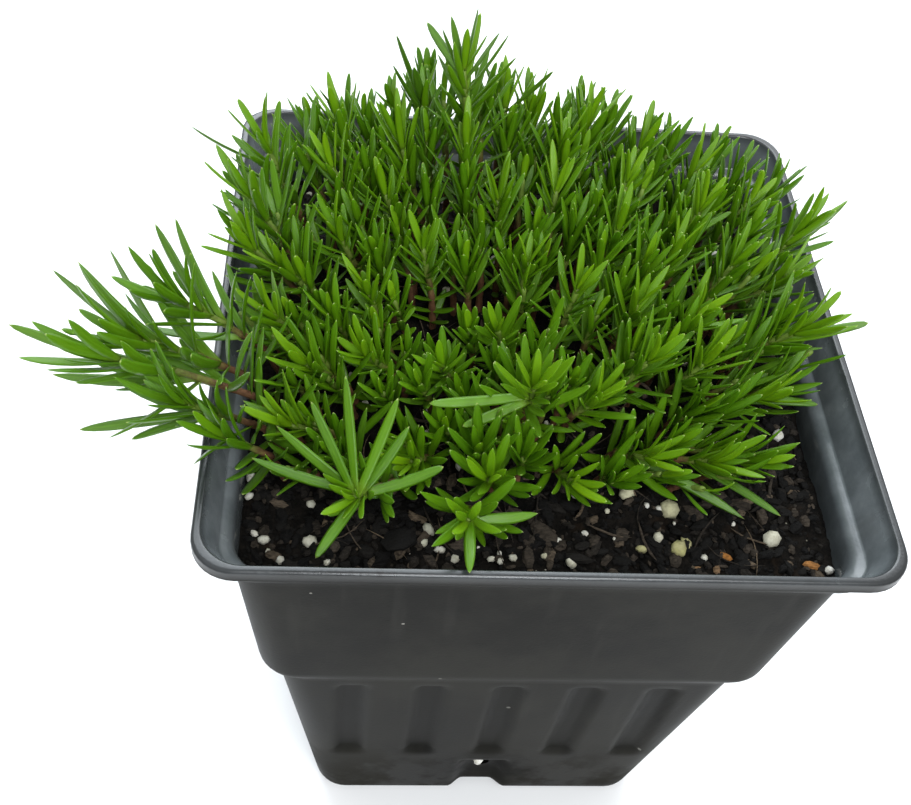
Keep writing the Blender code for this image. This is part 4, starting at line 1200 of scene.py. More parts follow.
def make_twigs(finish):
    """Bent rods: a straight run, a bow of 1 - 4 t^2 to one side and a slight lift at one end, with
    t from -1/2 to 1/2. The radius draws in by (2 t)^6 towards both ends."""
    draw = np.random.default_rng([MIX_SEED, 80])
    places = scatter(draw, TWIGS, TWIG_MARGIN)
    count = len(places)
    length = draw.uniform(*TWIG_LENGTH, count)[:, None]
    heading = draw.uniform(0, 2 * math.pi, count)[:, None]
    bow = draw.uniform(-TWIG_BOW, TWIG_BOW, count)[:, None] * length
    lift = draw.uniform(0.0, TWIG_LIFT, count)[:, None]
    t = np.linspace(-0.5, 0.5, TWIG_STATIONS)
    ahead = t * length
    beside = bow * (1 - 4 * t * t)
    x = places[:, :1] + ahead * np.cos(heading) - beside * np.sin(heading)
    y = places[:, 1:] + ahead * np.sin(heading) + beside * np.cos(heading)
    x, y = (np.clip(v, -TWIG_REACH, TWIG_REACH) for v in (x, y))
    z = soil_height(x, y) + TWIG_REST + lift * (t + 0.5)
    thickness = TWIG_RADIUS[0] + TWIG_RADIUS[1] * draw.uniform(0, 1, count) ** 2
    radius = thickness[:, None] * (1 - TWIG_TAPER * (2 * t) ** 6)
    points = tube_points(np.stack([x, y, z], -1), radius, TWIG_SIDES)
    quads, triangles = tube_faces(count, TWIG_STATIONS, TWIG_SIDES)
    tones = np.repeat(draw.uniform(*TWIG_TONES, count), points.shape[1])
    return make_piece(
        "twigs_and_fibres", points, quads, triangles, finish, values={"tone": tones}
    )


print("twig faces", len(make_twigs(BARK).data.polygons))

# %% [markdown]
# ## Where the shoots and leaves are
#
# Creeping phlox is a mat of thin stems with stiff, needle-like leaves in opposite pairs, each pair
# at right angles to the next, and more leaves crowded in their axils. The solid model grew its
# shoots by a rule with seeded draws. The same rule runs here again, so each fine leaf lies exactly
# where its plain one does. It could be read back from the solid's mesh, but a rule is clearer. A
# leaf's age, from 0 at the bud to 1, sets its colour: the long leaves of a few shoots are still
# green, and all leaves of the arm that reaches out at the left are older.

# %% The plant's sizes
STEM_BASE_RADIUS = 0.00085
STEM_TIP_RADIUS = 0.00068
STEM_POINTS = 4
STEM_FINE_POINTS = 24
STEM_DEPTH = 0.0030
STEM_TRIES = 200
ROOT_PULL = 0.78
ROOT_REACH = 0.0440
ROOT_SPACING = 0.0036
ROOT_SPREAD = 0.0020
ROOT_SPREAD_STEP = 0.00006
LEAST_RISE = 0.0030
FIRST_HANDLE = (0.55, 0.12)
LAST_HANDLE = (0.40, 0.30)
FLAT_LEAN = 0.0450
LEAST_UPRIGHT = 0.50
LEAF_WIDTH_RATIO = 0.130
LEAF_WIDTH_RANGE = (0.00155, 0.00200)
BEND_AT = 0.5
THREE_QUARTERS = 0.27
BUD_SHARE = 0.45
LONG_LEAF_WIDTH = 0.00195
LEAF_RISE = ((0.0, 0.0, 0.15), (0.0, 0.0, 0.50))
PAIR_ANGLES = (22, 34, 46, 56, 64, 70)
PAIR_LENGTHS = (0.74, 0.92, 1.0, 0.98, 0.92, 0.85)
PAIR_PITCH = 0.25
FIRST_PAIR_BACK = 0.0007
LEAST_PAIRS = 4
FIVE_PAIRS_FROM = 0.0142
SIX_PAIRS_FROM = 0.0162
LEAF_TRIES = 26
SHORT_FROM_TRY = 14
SHORT_SHARE = 0.78
SWING = 0.12
SWING_STEP = 0.035
TILT = 0.10
TILT_PER_SWING = 0.3
LEAST_TILT = 0.12
SIZE_RANGE = (0.88, 1.10)
CURL_RANGE = (0.02, 0.16)
LEAF_ROOM = (0.5, 0.5, 0.3)
OWN_ROOT_SHARE = 0.4
OWN_SHARE = 0.55
CLEARANCE = 0.00035
LEDGE_CLEARANCE = 0.0020
SOIL_CLEARANCE = 0.0006
SOIL_ROUGHNESS = 0.0004
STEM_FREE_FROM = 0.0025
PLANT_CORNER = 0.0110
PLANT_SEED = 7

# Each shoot: where its tip stands (x, y, height above the rim) and how long its leaves are
SHOOTS = (
    (-0.0140, 0.0380, 0.0253, 0.0150), (-0.0250, 0.0310, 0.0122, 0.0145),
    (-0.0370, 0.0400, 0.0102, 0.0130), (0.0010, 0.0450, 0.0103, 0.0140),
    (0.0120, 0.0410, 0.0123, 0.0135), (0.0230, 0.0380, 0.0094, 0.0130),
    (0.0340, 0.0340, 0.0074, 0.0125), (0.0440, 0.0270, 0.0055, 0.0125),
    (0.0520, 0.0180, 0.0065, 0.0140), (-0.0380, 0.0260, 0.0102, 0.0130),
    (-0.0279, 0.0190, 0.0102, 0.0120), (-0.0130, 0.0280, 0.0153, 0.0130),
    (0.0060, 0.0320, 0.0134, 0.0130), (0.0190, 0.0270, 0.0094, 0.0120),
    (-0.0069, 0.0190, 0.0103, 0.0125), (0.0041, 0.0210, 0.0114, 0.0125),
    (0.0330, 0.0220, 0.0075, 0.0125), (0.0151, 0.0120, 0.0104, 0.0125),
    (0.0261, 0.0100, 0.0075, 0.0120), (0.0371, 0.0080, 0.0065, 0.0125),
    (0.0471, 0.0070, 0.0045, 0.0130), (-0.0500, 0.0260, 0.0142, 0.0150),
    (-0.0520, 0.0130, 0.0132, 0.0155), (-0.0369, 0.0100, 0.0092, 0.0120),
    (-0.0460, 0.0010, 0.0081, 0.0130), (-0.0470, -0.0090, 0.0061, 0.0130),
    (-0.0409, -0.0180, 0.0040, 0.0130), (-0.0670, -0.0220, 0.0127, 0.0200),
    (-0.0617, -0.0140, 0.0138, 0.0190), (-0.0592, -0.0310, 0.0078, 0.0190),
    (-0.0698, -0.0280, 0.0147, 0.0198), (-0.0510, 0.0030, 0.0101, 0.0160),
    (-0.0429, -0.0290, 0.0009, 0.0135), (-0.0209, 0.0080, 0.0073, 0.0110),
    (-0.0045, 0.0435, 0.0133, 0.0135), (-0.0019, 0.0050, 0.0073, 0.0110),
    (0.0062, -0.0030, 0.0094, 0.0115), (-0.0309, -0.0020, 0.0062, 0.0110),
    (-0.0210, 0.0410, 0.0152, 0.0135), (-0.0309, -0.0140, 0.0021, 0.0105),
    (-0.0078, -0.0090, 0.0043, 0.0100), (-0.0178, -0.0160, 0.0022, 0.0100),
    (0.0172, -0.0040, 0.0074, 0.0120), (0.0282, -0.0040, 0.0054, 0.0125),
    (0.0173, -0.0180, 0.0074, 0.0140), (0.0283, -0.0150, 0.0044, 0.0135),
    (0.0472, -0.0060, 0.0035, 0.0160), (0.0403, -0.0170, -0.0025, 0.0135),
    (-0.0037, -0.0280, 0.0112, 0.0155), (0.0083, -0.0240, 0.0043, 0.0130),
    (0.0174, -0.0310, -0.0028, 0.0130), (0.0294, -0.0300, -0.0047, 0.0140),
    (0.0044, -0.0350, -0.0049, 0.0120), (-0.0107, -0.0400, 0.0020, 0.0140),
    (-0.0142, -0.0470, 0.0008, 0.0130), (-0.0228, -0.0330, -0.0030, 0.0120),
    (-0.0323, -0.0425, -0.0002, 0.0105),
)

# Long single leaves: which shoot, how far back from its tip, where the leaf's tip lies (x, y, height
# above the rim) and how far its middle sags, as a share of its length
LONG_LEAVES = (
    (31, 0.0110, -0.0884, -0.0180, 0.0108, 0.04), (31, 0.0150, -0.0813, -0.0240, 0.0058, 0.05),
    (30, 0.0060, -0.0763, -0.0320, 0.0017, 0.00), (30, 0.0080, -0.0672, -0.0360, 0.0047, -0.05),
    (29, 0.0060, -0.0657, -0.0050, 0.0221, 0.04), (28, 0.0050, -0.0737, -0.0050, 0.0161, 0.04),
    (28, 0.0010, -0.0804, -0.0150, 0.0205, 0.04), (57, 0.0036, -0.0485, -0.0382, 0.0038, 0.06),
    (57, 0.0018, -0.0447, -0.0345, 0.0074, 0.03), (57, 0.0004, -0.0393, -0.0335, 0.0124, 0.00),
    (57, 0.0008, -0.0341, -0.0293, 0.0140, 0.02), (57, 0.0012, -0.0257, -0.0310, 0.0110, 0.03),
    (57, 0.0022, -0.0237, -0.0335, 0.0070, 0.04), (57, 0.0030, -0.0181, -0.0390, 0.0039, 0.06),
    (57, 0.0030, -0.0379, -0.0513, -0.0045, -0.04), (55, 0.0010, -0.0146, -0.0580, 0.0027, -0.08),
    (55, 0.0020, -0.0030, -0.0455, 0.0009, 0.08), (49, 0.0040, -0.0203, -0.0270, 0.0051, 0.03),
    (49, 0.0062, -0.0147, -0.0300, 0.0031, 0.03), (1, 0.0004, -0.0123, 0.0410, 0.0364, 0.00),
    (1, 0.0016, -0.0170, 0.0420, 0.0337, 0.02), (1, 0.0030, -0.0188, 0.0375, 0.0339, 0.02),
    (1, 0.0020, -0.0211, 0.0460, 0.0295, 0.02), (1, 0.0026, -0.0078, 0.0405, 0.0319, 0.02),
    (1, 0.0052, -0.0063, 0.0385, 0.0329, 0.02), (1, 0.0085, -0.0059, 0.0410, 0.0235, 0.02),
    (1, 0.0075, -0.0189, 0.0415, 0.0258, 0.02), (39, 0.0006, -0.0268, 0.0415, 0.0293, 0.02),
    (39, 0.0004, -0.0235, 0.0350, 0.0271, 0.02), (39, 0.0030, -0.0272, 0.0400, 0.0238, 0.02),
    (35, 0.0012, 0.0036, 0.0420, 0.0231, 0.03), (22, 0.0040, -0.0626, 0.0200, 0.0227, 0.06),
    (47, 0.0060, 0.0602, -0.0050, 0.0056, 0.00), (9, 0.0080, 0.0610, 0.0220, 0.0116, 0.06),
    (48, 0.0050, 0.0503, -0.0180, -0.0025, -0.05), (52, 0.0060, 0.0405, -0.0390, -0.0075, -0.04),
    (51, 0.0060, 0.0345, -0.0390, -0.0087, -0.04),
)
GREEN_SHOOTS = (49, 55, 57)
GREEN_AGE = 0.4
ARM_SHOOTS = (28, 29, 30, 31)
ARM_AGE = 0.48
print("shoots", len(SHOOTS))

# %% [markdown]
# A leaf may grow only where it is clear of the pot and of every other shoot, so each stem and leaf
# that is placed is remembered as a few round-ended rods. The distance from a new leaf to all of them
# is found at once; rods that are too far off to matter are left out first, which changes nothing.

# %% Room for a leaf
LEAST_SPREAD = 1e-18
FAR_MARGIN = 0.001


def segment_gaps(a0, a1, b0, b1):
    """Shortest distance from segment a to each segment b: the nearest points of the two lines,
    each held between its own ends. Parallel lines have no spread, so it is kept above zero."""
    along_a = a1 - a0
    along_b = b1 - b0
    offset = a0 - b0
    aa = along_a @ along_a
    bb = (along_b * along_b).sum(1)
    ab = along_b @ along_a
    ao = offset @ along_a
    bo = (along_b * offset).sum(1)
    spread = np.maximum(aa * bb - ab * ab, LEAST_SPREAD)
    s = np.clip((ab * bo - ao * bb) / spread, 0, 1)
    t = np.clip((ab * s + bo) / bb, 0, 1)
    s = np.clip((t * ab - ao) / aa, 0, 1)
    nearest = a0 + s[:, None] * along_a - (b0 + t[:, None] * along_b)
    return np.linalg.norm(nearest, axis=1)


def square_distance(x, y, half, corner):
    """Signed distance from the outline of a rounded square, negative inside."""
    dx = np.abs(x) - (half - corner)
    dy = np.abs(y) - (half - corner)
    outside = np.hypot(np.maximum(dx, 0), np.maximum(dy, 0))
    return outside + np.minimum(np.maximum(dx, dy), 0) - corner


def clears_pot(points, radius):
    """True where every point, given this much room, misses the wall, the lip and the mix."""
    x, y, z = points.T
    room = radius + CLEARANCE
    over = z > POT_HEIGHT + room
    mouth = np.where(z > COLLAR_Z + LEDGE_CLEARANCE, MOUTH_HALF, UPPER_WALL_HALF - WALL)
    inside = square_distance(x, y, mouth, PLANT_CORNER) < -room
    outside = square_distance(x, y, RIM_HALF, CORNER_RADIUS) > room
    above = z > soil_height(x, y) + SOIL_ROUGHNESS + room + SOIL_CLEARANCE
    return bool((outside | ((over | inside) & above)).all())


def free_part(path):
    """The path of a leaf without the stretch next to its stem."""
    return np.vstack([path[0] + OWN_ROOT_SHARE * (path[1] - path[0]), path[1:]])


class Thicket:
    """The stems and leaves placed so far, as round-ended rods, so that a new one can be tested."""

    def __init__(self):
        self.low = np.zeros((0, 3))
        self.free = np.zeros((0, 3))
        self.high = np.zeros((0, 3))
        self.radius = np.zeros(0)
        self.owner = np.zeros(0, int)
        self.blade = np.zeros(0, bool)

    def touches(self, path, radii, low, which, share, room):
        """True where the path comes nearer to a rod than a share of both radii and the room."""
        middle = (path[0] + path[-1]) / 2
        reach = np.linalg.norm(path - middle, axis=1).max() + radii.max() + room
        far = np.linalg.norm((low + self.high) / 2 - middle, axis=1)
        half = np.linalg.norm(self.high - low, axis=1) / 2
        which = which & (far < reach + half + self.radius + FAR_MARGIN)
        if not which.any():
            return False
        low, high, radius = low[which], self.high[which], self.radius[which]
        return any(
            (segment_gaps(a0, a1, low, high) < share * (radius + r) + room).any()
            for a0, a1, r in zip(path, path[1:], radii)
        )

    def clear(self, path, radii, owner, blade=False, share=1.0, room=CLEARANCE):
        """True where the path misses every other shoot and, for a leaf, the free part of the
        leaves on its own shoot, which may come closer because their flat sides face."""
        if self.touches(path, radii, self.low, self.owner != owner, share, room):
            return False
        own = (self.owner == owner) & self.blade & blade
        return not self.touches(free_part(path), radii, self.free, own, OWN_SHARE, 0.0)

    def add(self, path, radii, owner, blade=False):
        """Remembers each stretch of a path with its radius and its shoot."""
        self.low = np.vstack([self.low, path[:-1]])
        self.free = np.vstack([self.free, free_part(path)[:-1]])
        self.high = np.vstack([self.high, path[1:]])
        self.radius = np.append(self.radius, radii)
        self.owner = np.append(self.owner, np.full(len(radii), owner))
        self.blade = np.append(self.blade, np.full(len(radii), blade))


print("room tests ready")

# %% [markdown]
# The stems come first, each on a curve from its root to its tip, and then the leaves, all shoots'
# tips before their lower pairs, so that the outermost leaves find room first.

# %% The rule that grows the plant
def stem_path(root, tip, count):
    """Points on a cubic curve that rises from the mix, leans out and ends at the shoot's tip. The
    further a shoot leans, the flatter it arrives there."""
    rise = max(tip[2] - root[2], LEAST_RISE)
    up = np.array([0.0, 0.0, rise])
    lean = np.array([tip[0] - root[0], tip[1] - root[1], 0.0])
    upright = np.clip(1 - np.hypot(*lean[:2]) / FLAT_LEAN, LEAST_UPRIGHT, 1)
    first = root + FIRST_HANDLE[0] * up + FIRST_HANDLE[1] * lean
    last = tip - LAST_HANDLE[0] * upright * up - LAST_HANDLE[1] * lean
    t = np.linspace(0, 1, count)[:, None]
    return (
        (1 - t) ** 3 * root + 3 * (1 - t) ** 2 * t * first + 3 * (1 - t) * t**2 * last + t**3 * tip
    )


def place_stems(thicket):
    """A root and a path for every shoot. A root is drawn nearer the middle than its tip, and is
    drawn again while its stem touches another stem, the wall or the lip."""
    stems, roots, tips = [], [], []
    for number, (x, y, height, leaf) in enumerate(SHOOTS):
        draw = np.random.default_rng([PLANT_SEED, number])
        tip = np.array([x, y, POT_HEIGHT + height])
        for attempt in range(STEM_TRIES):
            spread = ROOT_SPREAD + ROOT_SPREAD_STEP * attempt
            root_xy = np.clip(tip[:2] * ROOT_PULL, -ROOT_REACH, ROOT_REACH)
            root_xy = root_xy + draw.uniform(-spread, spread, 2)
            root = np.array([*root_xy, float(soil_height(*root_xy))])
            near = [np.hypot(*(root_xy - other[:2])) for other in roots]
            if near and min(near) < ROOT_SPACING:
                continue
            path = stem_path(root, tip, STEM_POINTS)
            bud = path[-1] + BUD_SHARE * leaf * unit(path[-1] - path[-2])
            path = np.vstack([path, bud])
            radii = np.linspace(STEM_BASE_RADIUS, STEM_TIP_RADIUS, STEM_POINTS)
            fine = stem_path(root, tip, STEM_FINE_POINTS)
            fine = fine[fine[:, 2] > soil_height(fine[:, 0], fine[:, 1]) + STEM_FREE_FROM]
            if clears_pot(fine, STEM_BASE_RADIUS) and thicket.clear(path, radii, number):
                break
        else:
            print("stem", number + 1, "has no clear path")
        thicket.add(path, radii, number)
        roots.append(root)
        tips.append(tip)
        stems.append(path)
    return stems, roots, tips


def leaf_path(base, along, out, length, angle, curl):
    """Base, middle, three quarters and tip of a leaf that leaves its stem at an angle, curls away
    from it and turns up towards the light."""
    first, second = (
        unit(math.cos(angle + bend) * along + math.sin(angle + bend) * out + rise)
        for bend, rise in zip((-curl, curl), LEAF_RISE)
    )
    middle = base + BEND_AT * length * first
    outer = middle + THREE_QUARTERS * length * second
    return np.array([base, middle, outer, middle + (1 - BEND_AT) * length * second])


def point_back_along(path, distance):
    """The point this far back from the path's end, and the direction of the path there."""
    steps = np.linalg.norm(np.diff(path, axis=0), axis=1)
    for i in range(len(steps) - 1, -1, -1):
        if distance <= steps[i] or i == 0:
            along = unit(path[i + 1] - path[i])
            return path[i + 1] - along * min(distance, steps[i]), along
        distance -= steps[i]


def try_leaf(draw, base, along, turn, angle, length, thicket, number, tries=LEAF_TRIES, **room):
    """One leaf near the wanted turn and angle, drawn again until it is clear of everything."""
    across, other = cross_axes(along)
    for attempt in range(tries):
        loose = SWING + SWING_STEP * attempt
        swing = turn + draw.uniform(-1, 1) * loose
        tilt = angle + draw.uniform(-1, 1) * (TILT + TILT_PER_SWING * loose)
        shorter = 1.0 if attempt < SHORT_FROM_TRY else SHORT_SHARE
        size = length * draw.uniform(*SIZE_RANGE) * shorter
        curl = draw.uniform(*CURL_RANGE)
        out = math.cos(swing) * across + math.sin(swing) * other
        path = leaf_path(base, along, out, size, max(tilt, LEAST_TILT), curl)
        width = np.clip(LEAF_WIDTH_RATIO * size, *LEAF_WIDTH_RANGE)
        radii = np.array(LEAF_ROOM) * width
        samples = np.vstack([path[1:], (path[1] + path[2]) / 2, (path[0] + path[1]) / 2])
        if clears_pot(samples, width / 2) and thicket.clear(
            path, radii, number, blade=True, **room
        ):
            thicket.add(path, radii, number, blade=True)
            return path, width, out, along
    return None


def long_leaf(path, back, tip, sag):
    """A leaf from a place on its stem to a known tip, its middle below the straight line."""
    base, along = point_back_along(path[:-1], back)
    reach = tip - base
    middle = base + reach / 2 - (0, 0, sag * np.linalg.norm(reach))
    outer = middle + 2 * THREE_QUARTERS * (tip - middle)
    out = unit(reach - (reach @ along) * along)
    return np.array([base, middle, outer, tip]), LONG_LEAF_WIDTH, out, along


def place_long_leaves(stems, thicket, leaves):
    """The long single leaves, each where it is clear of the pot and of what stands already."""
    radii = np.array(LEAF_ROOM) * LONG_LEAF_WIDTH
    for shoot, back, x, y, height, sag in LONG_LEAVES:
        leaf = long_leaf(stems[shoot - 1], back, np.array([x, y, POT_HEIGHT + height]), sag)
        samples = np.vstack([leaf[0][1:], (leaf[0][1:] + leaf[0][:-1]) / 2])
        clear = clears_pot(samples, LONG_LEAF_WIDTH / 2)
        if clear and thicket.clear(leaf[0], radii, shoot - 1, blade=True):
            thicket.add(leaf[0], radii, shoot - 1, blade=True)
            leaves[shoot - 1].append((*leaf, GREEN_AGE if shoot in GREEN_SHOOTS else 1.0))
        else:
            print("long leaf of shoot", shoot, "to", x, y, "has no room")


def pair_count(leaf):
    """How many pairs of leaves a shoot has, by the length of its leaves."""
    return LEAST_PAIRS + (leaf > FIVE_PAIRS_FROM) + (leaf > SIX_PAIRS_FROM)


def grow_leaves(stems, thicket):
    """Pairs of leaves down every shoot, as (path, width, out, along, age) for each leaf."""
    leaves = [[] for _ in SHOOTS]
    draws = [np.random.default_rng([PLANT_SEED, 100 + i]) for i in range(len(SHOOTS))]
    turns = [draw.uniform(0, 2 * math.pi) for draw in draws]
    place_long_leaves(stems, thicket, leaves)
    most = max(pair_count(shoot[3]) for shoot in SHOOTS)
    for pair in range(most):
        for number, path in enumerate(stems):
            full = SHOOTS[number][3]
            if pair >= pair_count(full):
                continue
            back = FIRST_PAIR_BACK + PAIR_PITCH * full * pair
            base, along = point_back_along(path[:-1], back)
            angle = math.radians(PAIR_ANGLES[pair])
            length = full * PAIR_LENGTHS[pair]
            for side in range(2):
                placed_leaf = try_leaf(
                    draws[number], base, along,
                    turns[number] + pair * math.pi / 2 + side * math.pi,
                    angle, length, thicket, number,
                )
                if placed_leaf:
                    leaves[number].append((*placed_leaf, pair / most))
    return leaves, turns


THICKET = Thicket()
STEMS, ROOTS, TIPS = place_stems(THICKET)
LEAVES, TURNS = grow_leaves(STEMS, THICKET)
print("stems", len(STEMS), "leaves of the solid model", sum(map(len, LEAVES)))

# %% [markdown]
# The solids hold as many leaves as their faces allow. The real shoot has more: young leaves folded
# round the bud, and shorter ones in the axils of each pair. They grow here by the same test, from
# draws of their own, so that none of them moves a leaf that is already there. Between the shoots
# stand short side shoots, upright and close together, which make the plant a mat. Their tips follow
# the height of the shoots round them and stay a little lower.

# %% More leaves
YOUNG_LEAVES = 6
YOUNG_TURN = 0.8
# Each pair: the value at the innermost young leaf, and its rise towards the outermost
YOUNG_BACK = (0.0004, 0.0010)
YOUNG_ANGLE = (8, 16)
YOUNG_LENGTH = (0.50, 0.34)
YOUNG_AGE = (0.02, 0.1)
AXIL_LEAVES = 3
AXIL_BACK = 0.35
AXIL_LENGTH = (0.62, 0.95)
AXIL_OPENING = 2
AXIL_AGE = (0.15, 9)
ARM_FROM = 0.0185
ARM_LEAVES = 2
LOWER_PAIRS = 3
EXTRA_FREE_FROM = 0.0012
EXTRA_TRIES = 12
EXTRA_ROOM = {"share": 0.75, "room": 0.0}
GOLDEN_TURN = math.radians(137.5)
CANOPY_BLUR = 0.004
SIDE_PITCH = 0.0078
SIDE_ROWS = 0.866
SIDE_JITTER = 0.0016
SIDE_SPAN_X = (-0.052, 0.052)
SIDE_SPAN_Y = (-0.034, 0.048)
SIDE_NEAR = 0.0030
SIDE_FAR = 0.0085
SIDE_LOWER = (0.0005, 0.0045)
SIDE_LEAF = (0.78, 1.02)
SIDE_LEAVES = 18
SIDE_ROOT_PULL = 0.86
SIDE_FREE_FROM = 0.0010
SIDE_BACK = 0.0003
SIDE_LENGTH = 0.85
SIDE_SMALLEST = (0.62, 0.38)
SIDE_GROWTH = 2.5
SIDE_ANGLES = (7.0, 42.0)
SIDE_OPENING = 0.8
SIDE_AGE = 0.1
SIDE_ROOM = {"share": 0.55, "room": 0.0}
SIDE_OWNER = 1000


def young_leaves(full, turn):
    """The wanted leaves round a bud, as (distance back, turn, angle, length, age)."""
    for i in range(YOUNG_LEAVES):
        share = i / (YOUNG_LEAVES - 1)
        back, angle, length, age = (
            start + rise * share for start, rise in (YOUNG_BACK, YOUNG_ANGLE, YOUNG_LENGTH, YOUNG_AGE)
        )
        yield back, turn + YOUNG_TURN + i * GOLDEN_TURN, angle, length * full, age


def axil_leaves(full, turn, draw):
    """The wanted leaves in the axils and below the last pair, as for the young ones."""
    pairs = pair_count(full)
    for pair in range(pairs + LOWER_PAIRS):
        low = min(pair, len(PAIR_ANGLES) - 1)
        back = FIRST_PAIR_BACK + PAIR_PITCH * full * (pair + AXIL_BACK)
        between = turn + (pair + 0.5) * math.pi / 2
        for i in range(AXIL_LEAVES + (pair >= pairs) + ARM_LEAVES * (full > ARM_FROM)):
            size = full * PAIR_LENGTHS[low] * draw.uniform(*AXIL_LENGTH)
            angle = PAIR_ANGLES[low] + AXIL_OPENING
            age = AXIL_AGE[0] + pair / AXIL_AGE[1]
            yield back, between + i * 2 * math.pi / AXIL_LEAVES, angle, size, age


def side_leaves(full, first):
    """The wanted leaves of a side shoot. They turn by the golden angle, open out down the stem by
    a power of the share of the way, and are full-sized from 1 / SIDE_GROWTH of it."""
    for i in range(SIDE_LEAVES):
        share = i / (SIDE_LEAVES - 1)
        opened = share**SIDE_OPENING * (SIDE_ANGLES[1] - SIDE_ANGLES[0])
        size = full * (SIDE_SMALLEST[0] + SIDE_SMALLEST[1] * min(1.0, SIDE_GROWTH * share))
        back = SIDE_BACK + SIDE_LENGTH * full * share
        yield back, first + i * GOLDEN_TURN, SIDE_ANGLES[0] + opened, size, SIDE_AGE + share


def grown_leaves(wanted, path, draw, thicket, owner, free_from, room):
    """The wanted leaves that stand far enough out of the mix and find room."""
    for back, turn, angle, size, age in wanted:
        base, along = point_back_along(path, back)
        if base[2] < soil_height(*base[:2]) + free_from:
            continue
        grown = try_leaf(
            draw, base, along, turn, math.radians(angle), size, thicket, owner, EXTRA_TRIES, **room
        )
        if grown:
            yield (*grown, min(age, 1.0))


def grow_more(stems, leaves, turns, thicket):
    """Adds young leaves at each tip, leaves in the axils, and short pairs further down."""
    for number, path in enumerate(stems):
        draw = np.random.default_rng([PLANT_SEED, 500 + number])
        full, first = SHOOTS[number][3], turns[number]
        wanted = [*young_leaves(full, first), *axil_leaves(full, first, draw)]
        leaves[number] += grown_leaves(
            wanted, path[:-1], draw, thicket, number, EXTRA_FREE_FROM, EXTRA_ROOM
        )


def canopy(x, y):
    """Height above the rim and leaf length at a place: the mean of all shoots, each weighed by one
    over its squared distance twice."""
    shoots = np.array(SHOOTS)
    far = (shoots[:, 0] - x) ** 2 + (shoots[:, 1] - y) ** 2
    weight = 1 / (far + CANOPY_BLUR**2) ** 2
    height, leaf = (weight @ shoots[:, 2:]) / weight.sum()
    return height, leaf, math.sqrt(far.min())


def side_places(draw):
    """Places of the side shoots: a loose lattice, kept where it is near a shoot but not on one,
    and inside the mouth of the pot."""
    rows = np.arange(SIDE_SPAN_Y[0], SIDE_SPAN_Y[1], SIDE_PITCH * SIDE_ROWS)
    for i, y0 in enumerate(rows):
        for x0 in np.arange(SIDE_SPAN_X[0] + (i % 2) * SIDE_PITCH / 2, SIDE_SPAN_X[1], SIDE_PITCH):
            x, y = np.array((x0, y0)) + draw.uniform(-1, 1, 2) * SIDE_JITTER
            height, leaf, near = canopy(x, y)
            if SIDE_NEAR < near < SIDE_FAR:
                yield x, y, height, leaf


def grow_side_shoots(thicket):
    """Short upright shoots between the others, as (root, tip, length of the leaves, leaves)."""
    draw = np.random.default_rng([PLANT_SEED, 700])
    grown_shoots = []
    for number, (x, y, height, leaf) in enumerate(side_places(draw)):
        tip = np.array([x, y, POT_HEIGHT + height - draw.uniform(*SIDE_LOWER)])
        foot = np.clip(tip[:2] * SIDE_ROOT_PULL, -ROOT_REACH, ROOT_REACH)
        root = np.array([*foot, float(soil_height(*foot))])
        path = stem_path(root, tip, STEM_POINTS)
        full = leaf * draw.uniform(*SIDE_LEAF)
        wanted = side_leaves(full, draw.uniform(0, 2 * math.pi))
        owner = SIDE_OWNER + number
        leaves = list(grown_leaves(wanted, path, draw, thicket, owner, SIDE_FREE_FROM, SIDE_ROOM))
        if leaves:
            grown_shoots.append((root, tip, full, leaves))
    return grown_shoots


grow_more(STEMS, LEAVES, TURNS, THICKET)
for shoot in ARM_SHOOTS:
    LEAVES[shoot - 1] = [
        (*leaf[:-1], ARM_AGE + (1 - ARM_AGE) * leaf[-1]) for leaf in LEAVES[shoot - 1]
    ]
SIDE_SHOOTS = grow_side_shoots(THICKET)
print("leaves on the main shoots", sum(map(len, LEAVES)))
print("side shoots", len(SIDE_SHOOTS), "leaves", sum(len(shoot[3]) for shoot in SIDE_SHOOTS))

# %% [markdown]
# ## Leaf surfaces
#
# Seen close, a leaf is a narrow cushion: it leaves the stem thin, is widest near its middle, and
# ends in a blunt point with a pale bristle tip. Its upper side has a shallow channel, its lower side
# a keel. A plane with a texture would look flat at this distance, so each is a closed form: an
# eight-sided section, carried along a curve through the leaf's base, middle and tip.

# %% Leaf forms
LEAF_STATIONS = (0.0, 0.13, 0.30, 0.48, 0.64, 0.78, 0.89, 0.96)
LEAF_WIDTHS = (0.62, 0.80, 0.94, 1.00, 0.98, 0.88, 0.68, 0.40)
BLUNTNESS = (0.7, 1.7)
LEAF_TWIST = 0.5
SHOOT_TONE = (0.25, 0.75)
TONE_SPREAD = 0.17
UPWARDS = 1e-9
LEAF_SECTION = (
    (-1.0, 0.02), (-0.55, 0.18), (0.0, 0.05), (0.55, 0.18), (1.0, 0.02),
    (0.55, -0.26), (0.0, -0.42), (-0.55, -0.26),
)


